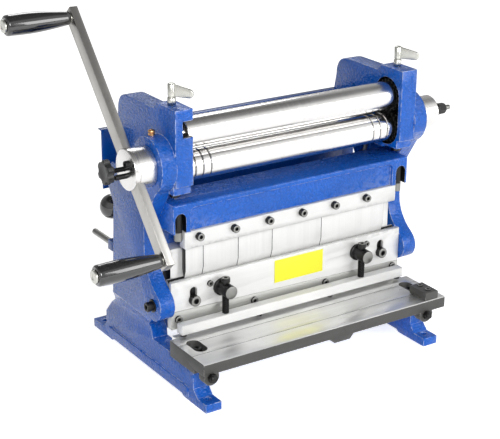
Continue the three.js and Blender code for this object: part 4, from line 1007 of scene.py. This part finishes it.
class SLIPROLL_OT_hold_down(Operator):
    """Model the sheet hold-down: bar with its feet, bosses and threaded studs"""

    bl_idname = "slip_roll.hold_down"
    bl_label = "Hold-down"

    def execute(self, context):
        form = context.scene.slip_roll_form
        name, edge = "hold_down_bar_ground", form.plate_edge
        bar = dressed("hold_down_bar", name, "ground_plate", edge)
        low = at(0, 0, 73.4).z
        repaint(bar, "black_oxide", lambda centre, normal: centre.z < low)
        for name, side in SIDES:
            self.boss(f"{name}_hold_down_boss", side * BOSS_X)
            self.stud(f"{name}_hold_down_stud", side * BOSS_X, form.thread_pitch)
        return {"FINISHED"}

    def boss(self, node, x):
        stations = [(0, 11), (3.5, 11), (4, 10.5), (4.2, 8.6), (24.3, 8.6), (25.0, 8.2), (25.3, 7.5)]
        boss = turn(f"{node}_turned", stations, at(x, PLATE_FRONT, 117.6), FRONT, 48)
        bore = turn("bore", [(0, 4.7), (30, 4.7)], at(x, STUD_Y, 102), sides=32)
        settle(rounded(cut(boss, bore), 0.25, 1, 50), "black_oxide", node)
        disc = at(0, -24.5, 0).y
        repaint(boss, "grey_metal", lambda centre, normal: centre.y < disc and normal.y < -0.5)

    def stud(self, node, x, pitch):
        foot, radius, seat, head_height = at(x, STUD_Y, 86), 4.4, 41.9, 5.6
        stud = turn("stud", threads(0, 40.4, radius, pitch) + [(41.5, radius)], foot, sides=32)
        head = move(cap_screw(5.6, head_height, 2.4), foot + Vector((0, 0, seat * MM)))
        whole = settle(join(f"{node}_threaded", stud, head), "black_oxide", node)
        crowned(whole, [foot], UP, seat + head_height)


class SLIPROLL_OT_rolls(Operator):
    """Turn the three rolls, with the wire grooves in the lower one"""

    bl_idname = "slip_roll.rolls"
    bl_label = "Rolls"

    def execute(self, context):
        sides = context.scene.slip_roll_form.roll_sides
        self.roll("upper_roll", UPPER_ROLL, 176.2, 154.1, 0, sides)
        lower = self.roll("lower_roll", LOWER_ROLL, 176.2, 154.1, 3, sides)
        middle = at(0, *LOWER_ROLL)
        # The faces inside the wire grooves are black as painted shade in the grooves.
        repaint(lower, "black_oxide", lambda centre, normal: abs(centre.x - middle.x) < 150 * MM
                and math.hypot(centre.y - middle.y, centre.z - middle.z) < 17.7 * MM)
        self.roll("rear_roll", REAR_ROLL, 173.9, 151.5, 0, sides)
        return {"FINISHED"}

    def roll(self, node, centre, end, face, grooves, sides):
        """A roll that is the same at both ends: its half runs from the journal's end inwards."""
        journal, radius, root, outermost, step = 9.0, 18.5, 17.5, 143.6, 11
        half = [(end, 8.6), (end - 0.5, journal), (face, journal), (face, 17.3), (face - 0.3, 18.0),
                (face - 1.0, radius)]
        for i in range(grooves):
            middle = outermost - i * step
            half += [(middle + 1.3, radius), (middle + 1.0, 18.2), (middle + 0.6, root),
                     (middle - 0.6, root), (middle - 1.0, 18.2), (middle - 1.3, radius)]
        stations = [(-along, width) for along, width in half] + [*reversed(half)]
        roll = turn(f"{node}_turned", stations, at(0, *centre), RIGHT, sides)
        return settle(roll, "roll_steel", node)


class SLIPROLL_OT_bearings(Operator):
    """Finish the gears and the bearing blocks of the rolls"""

    bl_idname = "slip_roll.bearings"
    bl_label = "Gears and bearings"

    def execute(self, context):
        for node in ("upper_gear", "lower_gear"):
            dressed(node, f"{node}_cut", "black_oxide", 0.25, segments=1)
        for name, _ in SIDES:
            for level in ("upper", "lower", "rear"):
                node = f"{name}_{level}_block"
                dressed(node, f"{node}_machined", "casting_grey", 0.6)
        return {"FINISHED"}


class SLIPROLL_OT_crank(Operator):
    """Model the crank: hub, square bar, spindles, grips and the star knob"""

    bl_idname = "slip_roll.crank"
    bl_label = "Crank"

    def execute(self, context):
        self.hub()
        self.bar()
        for node, distance in GRIPS:
            self.grip(node, distance)
        self.knob()
        return {"FINISHED"}

    def along(self, distance, x):
        """A point on the line of the bar, at a distance from the crank's axis."""
        return at(x, CRANK[0] + distance * math.cos(BAR_TURN), CRANK[1] + distance * math.sin(BAR_TURN))

    def block(self, name, thick, length, wide, offset=0.0):
        """A block that lies as the bar does, shifted along it by the offset."""
        piece = start(
            bpy.ops.mesh.primitive_cube_add,
            name,
            size=1,
            scale=(thick * MM, length * MM, wide * MM),
            location=(0, offset * MM, 0),
        )
        centre = at(-BAR_OUTER + BAR_THICK / 2, *CRANK)
        piece.matrix_world = Matrix.Translation(centre) @ Matrix.Rotation(BAR_TURN, 4, "X")
        return piece

    def hub(self):
        width, radius, groove, lip = 28.6, 25, 24.3, 23.1
        stations = [(0, 24.4), (0.6, radius), (lip - 1.4, radius), (lip - 1.1, groove), (lip - 0.3, groove),
                    (lip, radius), (width - 1.2, radius), (width - 0.4, 24.6), (width, 23.8)]
        hub = turn("crank_hub_turned", stations, at(-HUB_INNER, *CRANK), LEFT, 96)
        shaft = turn("shaft", [(0, 9), (17.1, 9)], at(-SHAFT_INNER, *CRANK), LEFT, 48)
        cut(hub, self.block("bar_slot", BAR_THICK + 0.6, 60, BAR_WIDE + 0.6))
        cut(hub, turn("stud_bore", [(0, 3.3), (10, 3.3)], at(-BAR_OUTER, *STAR_KNOB), LEFT, 24))
        settle(join("crank_hub_turned", hub, shaft), "hub_steel", "crank_hub")
        short = move(cap_screw(4.2, 5.5, 2.0), at(-HUB_OUTER, 7.5, 296.5), LEFT)
        long = move(cap_screw(3.2, 15.0, 1.5), at(-HUB_OUTER, 13, 280.5), LEFT)
        hang(join("hub_set_screws", short, long), "black_oxide", "crank_hub")

    def bar(self):
        bar = self.block("crank_bar_flat", BAR_THICK, 339.5, BAR_WIDE, 43.75)
        alone(bar)
        fix_place()
        settle(rounded(bar, 0.7), "bar_steel", "crank_bar")
        stations = [(0, 6.2), (1.6, 6.2), (1.9, 4.0), (84.6, 4.0), (84.9, 8.0), (86.6, 8.0), (87.2, 7.5),
                    (87.45, 6.8), (87.45, 3.8), (86.8, 3.2)]
        spindles = [turn("spindle", stations, self.along(distance, -BAR_OUTER + 0.5), LEFT, 40)
                    for _, distance in GRIPS]
        hang(join("grip_spindles", *spindles), "zinc", "crank_bar")

    def grip(self, node, distance):
        """A grip that swells from its foot to its widest place, and narrows a little to its end."""
        foot_radius, widest, end_radius = 8.6, 13.0, 12.5
        low, length, steps, peak = 0.8, 78.7, 20, 0.7
        quarter = math.pi / 2
        stations = [(0, 7.6), (low, 8.4)]
        for i in range(1, steps + 1):
            share = i / steps
            if share < peak:
                radius = foot_radius + (widest - foot_radius) * math.sin(share / peak * quarter) ** 1.1
            else:
                radius = end_radius + (widest - end_radius) * math.cos((share - peak) / (1 - peak) * quarter)
            stations.append((low + share * length, radius))
        stations += [(80.6, 12.1), (81.4, 11.4), (82.0, 10.0), (82.0, 8.6), (81.2, 8.2)]
        grip = turn(f"{node}_moulded", stations, self.along(distance, -BAR_OUTER - 1.5), LEFT)
        settle(grip, "gloss_plastic", node, angle=50.0)

    def knob(self):
        lobes, scallop, ring = 6, 6.4, 17.6
        stations = [(0, 14.2), (0.9, 15), (7.0, 15), (8, 13.8), (8, 8.0), (7.4, 6.4)]
        knob = turn("star", stations, sides=72)
        for i in range(lobes):
            angle = math.radians(360 / lobes * (i + 0.5))
            tool = turn("scallop", [(-1, scallop), (10, scallop)], sides=32)
            move(tool, Vector((math.cos(angle), math.sin(angle), 0)) * ring * MM)
            cut(knob, tool)
        rounded(knob, 1.0, 3, 40)
        move(knob, at(-HUB_OUTER - 19, *STAR_KNOB), LEFT)
        stations = threads(0, 19.3, 3.0, 1.0) + [(20.6, 3.0)]
        stud = turn("star_knob_stud", stations, at(-BAR_OUTER - 0.3, *STAR_KNOB), LEFT, 24)
        stations = [(0, 6.0), (3.4, 6.6), (4, 7.2)]
        collar = turn("collar", stations, at(-HUB_OUTER - 15.2, *STAR_KNOB), LEFT, 40)
        whole = join("star_knob_moulded", knob, collar)
        settle(whole, "matt_plastic", "star_knob", angle=50.0)
        hang(stud, "black_oxide", "star_knob")


class SLIPROLL_OT_right_hub(Operator):
    """Turn the right hub and its stepped stud"""

    bl_idname = "slip_roll.right_hub"
    bl_label = "Right hub"

    def execute(self, context):
        width, radius = 32, 21.5
        stations = [(0, 20.9), (0.6, radius), (width - 1.4, radius), (width - 0.4, 20.9), (width, 20),
                    (width, 10.6), (width - 0.6, 10.0)]
        hub = turn("hub", stations, at(HUB_INNER, *CRANK), RIGHT, 96)
        shaft = turn("shaft", [(0, 9), (17.1, 9)], at(SHAFT_INNER, *CRANK), RIGHT, 48)
        settle(join("right_hub_turned", hub, shaft), "hub_steel", "right_hub")
        base = HUB_INNER + width
        stations = [(-0.5, 8.6), (0.4, 9), (12.8, 9), (14.0, 7.8)]
        collar = turn("collar", stations, at(base, *CRANK), RIGHT, 48)
        flats = hexagon("hexagon", 7.5, 12.1, at(base + 13.4, *CRANK), RIGHT)
        stations = [(0, 3.2), (9.0, 3.2), (9.9, 2.6), (10.4, 1.6)]
        pin = turn("pin", stations, at(base + 25.5, *CRANK), RIGHT, 32)
        whole = join("right_stud_turned", collar, flats, pin)
        stud = settle(whole, "black_oxide", "right_stud")
        tip = at(base + 27, 0, 0).x
        repaint(stud, "grey_metal", lambda centre, normal: centre.x > tip)
        return {"FINISHED"}


class SLIPROLL_OT_frame_screws(Operator):
    """Model the nose screws, oil cups, roll adjusting screws and wing screws of both side frames"""

    bl_idname = "slip_roll.frame_screws"
    bl_label = "Frame screws"

    def execute(self, context):
        for name, side in SIDES:
            self.nose(f"{name}_nose_screw", side)
            self.oil_cup(f"{name}_oil_cup", side)
            self.adjuster(f"{name}_roll_screw", side)
            self.rear_adjuster(f"{name}_rear_screw", side)
            self.wing(f"{name}_wing_screw", side)
        return {"FINISHED"}

    def nose(self, node, side):
        centre, outwards = (9, 110), (side, 0, 0)
        head = move(cap_screw(6.0, 8.0, 3.0, 48), at(side * (WEB_OUTER + 1.3), *centre), outwards)
        shank = turn("shank", [(0, 4), (20.7, 4)], at(side * 177.3, *centre), outwards, 32)
        stations = [(0, 8.2), (0.9, 8.2), (1.2, 7.8)]
        washer = turn("washer", stations, at(side * WEB_OUTER, *centre), outwards, 48)
        settle(join(f"{node}_socket", head, shank, washer), "black_oxide", node)

    def oil_cup(self, node, side):
        foot = at(side * 188, 20, 321.6)
        base = hexagon("base", 3.9, 3.0, foot)
        stations = [(2.8, 3.0), (3.4, 3.0), (3.8, 4.0), (4.4, 4.4), (5.4, 4.3), (6.6, 3.6), (7.2, 2.6),
                    (7.4, 1.4)]
        cup = turn("cup", stations, foot, sides=40)
        settle(join(f"{node}_turned", base, cup), "brass", node)

    def adjuster(self, node, side):
        foot = at(side * ROLL_SCREW_X, 4, 246.6)
        head = hexagon("head", 6.5, 5.0, foot)
        shank = turn("shank", threads(4.0, 17.0, 3.0, 1.0) + [(18.4, 3.0)], foot, sides=24)
        settle(join(f"{node}_threaded", head, shank), "black_oxide", node)

    def rear_adjuster(self, node, side):
        axis = Vector((0, -math.sin(REAR_LEAN), math.cos(REAR_LEAN)))
        foot = at(side * REAR_SCREW_X, *REAR_ROLL) - axis * 12 * MM
        head = hexagon("head", 7.5, 10.0, foot - axis * 57 * MM, axis)
        shank = turn("shank", threads(-47.4, -1.6, 3.0, 1.0) + [(-0.3, 3.0)], foot, axis, 24)
        settle(join(f"{node}_threaded", head, shank), "zinc", node)

    def wing(self, node, side):
        """A forged screw: its paddle is flat below, round at the end and slopes up to the post."""
        stations = [(-23.2, 3.6), (0.3, 3.6), (0.3, 4.6), (0.8, 5.0), (8.4, 5.0), (9.0, 4.4), (9.2, 3.6),
                    (9.8, 3.6), (10.6, 4.6), (24.6, 4.6), (25.4, 4.1), (25.9, 3.0)]
        post = turn("post", stations, sides=40)
        low, reach, radius, rise, steps = 10, 22.5, 5.5, 5.0, 11
        outline = [(0, low), (reach, low)]
        slope = math.atan(rise / reach)
        for i in range(1, steps + 1):
            angle = -math.pi / 2 + (math.pi - slope) * i / steps
            outline.append((reach + radius * math.cos(angle), low + radius + radius * math.sin(angle)))
        outline.append((0, low + 2 * radius + rise))
        paddle = rounded(prism("paddle", outline, 3.0), 0.9, 3, 40)
        whole = join(f"{node}_forged", post, paddle)
        move(whole, at(side * ROLL_SCREW_X, 9, 358), UP, math.radians(-55))
        settle(whole, "zinc", node, angle=50.0)


class SLIPROLL_OT_rear_fittings(Operator):
    """Model the ball lever, the gauge rods and the gauge bar"""

    bl_idname = "slip_roll.rear_fittings"
    bl_label = "Rear fittings"

    def execute(self, context):
        self.lever()
        for name, side in SIDES:
            self.rod(f"{name}_gauge_rod", side * GAUGE_ROD_X)
        dressed("gauge_bar", "gauge_bar_drawn", "shaded_sheet_paint", 0.5)
        return {"FINISHED"}

    def lever(self):
        stations = [(0, 8.4), (0.7, 9), (11.3, 9), (12, 8.4), (12, 5), (11.5, 4.6)]
        hub = turn("hub", stations, at(-164.7, *LEVER_PIVOT), LEFT, 48)
        pin = turn("pin", [(0, 4), (10.8, 4), (11.3, 3.6)], at(-175.7, *LEVER_PIVOT), LEFT, 32)
        pivot, ball = at(-170.7, *LEVER_PIVOT), at(-170.7, *LEVER_BALL)
        axis = (ball - pivot).normalized()
        reach = (ball - pivot).length / MM
        arm = turn("arm", [(6, 4.4), (10, 3.5), (reach - 14, 3.5)], pivot, axis, 32)
        radius, first, step, steps = 16.4, 158, 7.0, 22
        stations = [(-16.2, 5.2), (-15.6, 5.6)]
        for i in range(1, steps + 1):
            angle = math.radians(first - i * step)
            stations.append((radius * math.cos(angle), radius * math.sin(angle)))
        knob = turn("ball_lever_knob", stations, ball, axis, 56)
        settle(knob, "gloss_plastic", "ball_lever", angle=60.0)
        hang(join("ball_lever_arm", arm, hub, pin), "black_oxide", "ball_lever")

    def rod(self, node, x):
        rod = turn("rod", [(0, 4), (92.9, 4), (93.7, 3.2)], at(x, 90.3, 146), REAR, 40)
        stations = [(0, 5.6), (0.4, 6), (8.1, 6), (8.7, 5.4)]
        sleeve = turn("sleeve", stations, at(x, 112.3, 146), REAR, 40)
        settle(join(f"{node}_turned", rod, sleeve), "grey_metal", node)


MAKERS = (
    SLIPROLL_OT_stage,
    SLIPROLL_OT_castings,
    SLIPROLL_OT_cover,
    SLIPROLL_OT_brake,
    SLIPROLL_OT_shear,
    SLIPROLL_OT_hold_down,
    SLIPROLL_OT_rolls,
    SLIPROLL_OT_bearings,
    SLIPROLL_OT_crank,
    SLIPROLL_OT_right_hub,
    SLIPROLL_OT_frame_screws,
    SLIPROLL_OT_rear_fittings,
)


class SLIPROLL_PT_panel(Panel):
    """Lists the settings and the pieces of the machine"""

    bl_idname = "SLIPROLL_PT_panel"
    bl_label = "Slip roll machine"
    bl_space_type = "VIEW_3D"
    bl_region_type = "UI"
    bl_category = "Slip roll"

    def draw(self, context):
        column = self.layout.column()
        for name in SETTINGS:
            settings = getattr(context.scene, name)
            for key in settings.__annotations__:
                column.prop(settings, key)
        for maker in MAKERS:
            column.operator(maker.bl_idname)


SETTINGS = {
    "slip_roll_finish": SlipRollFinish,
    "slip_roll_form": SlipRollForm,
    "slip_roll_stage": SlipRollStage,
}
CLASSES = (*SETTINGS.values(), *MAKERS, SLIPROLL_PT_panel)


def register():
    for kind in CLASSES:
        bpy.utils.register_class(kind)
    for name, kind in SETTINGS.items():
        setattr(bpy.types.Scene, name, PointerProperty(type=kind))


def unregister():
    for name in SETTINGS:
        delattr(bpy.types.Scene, name)
    for kind in reversed(CLASSES):
        bpy.utils.unregister_class(kind)


def main():
    register()
    for maker in MAKERS:
        area, name = maker.bl_idname.split(".")
        getattr(getattr(bpy.ops, area), name)()


if __name__ == "__main__":
    main()
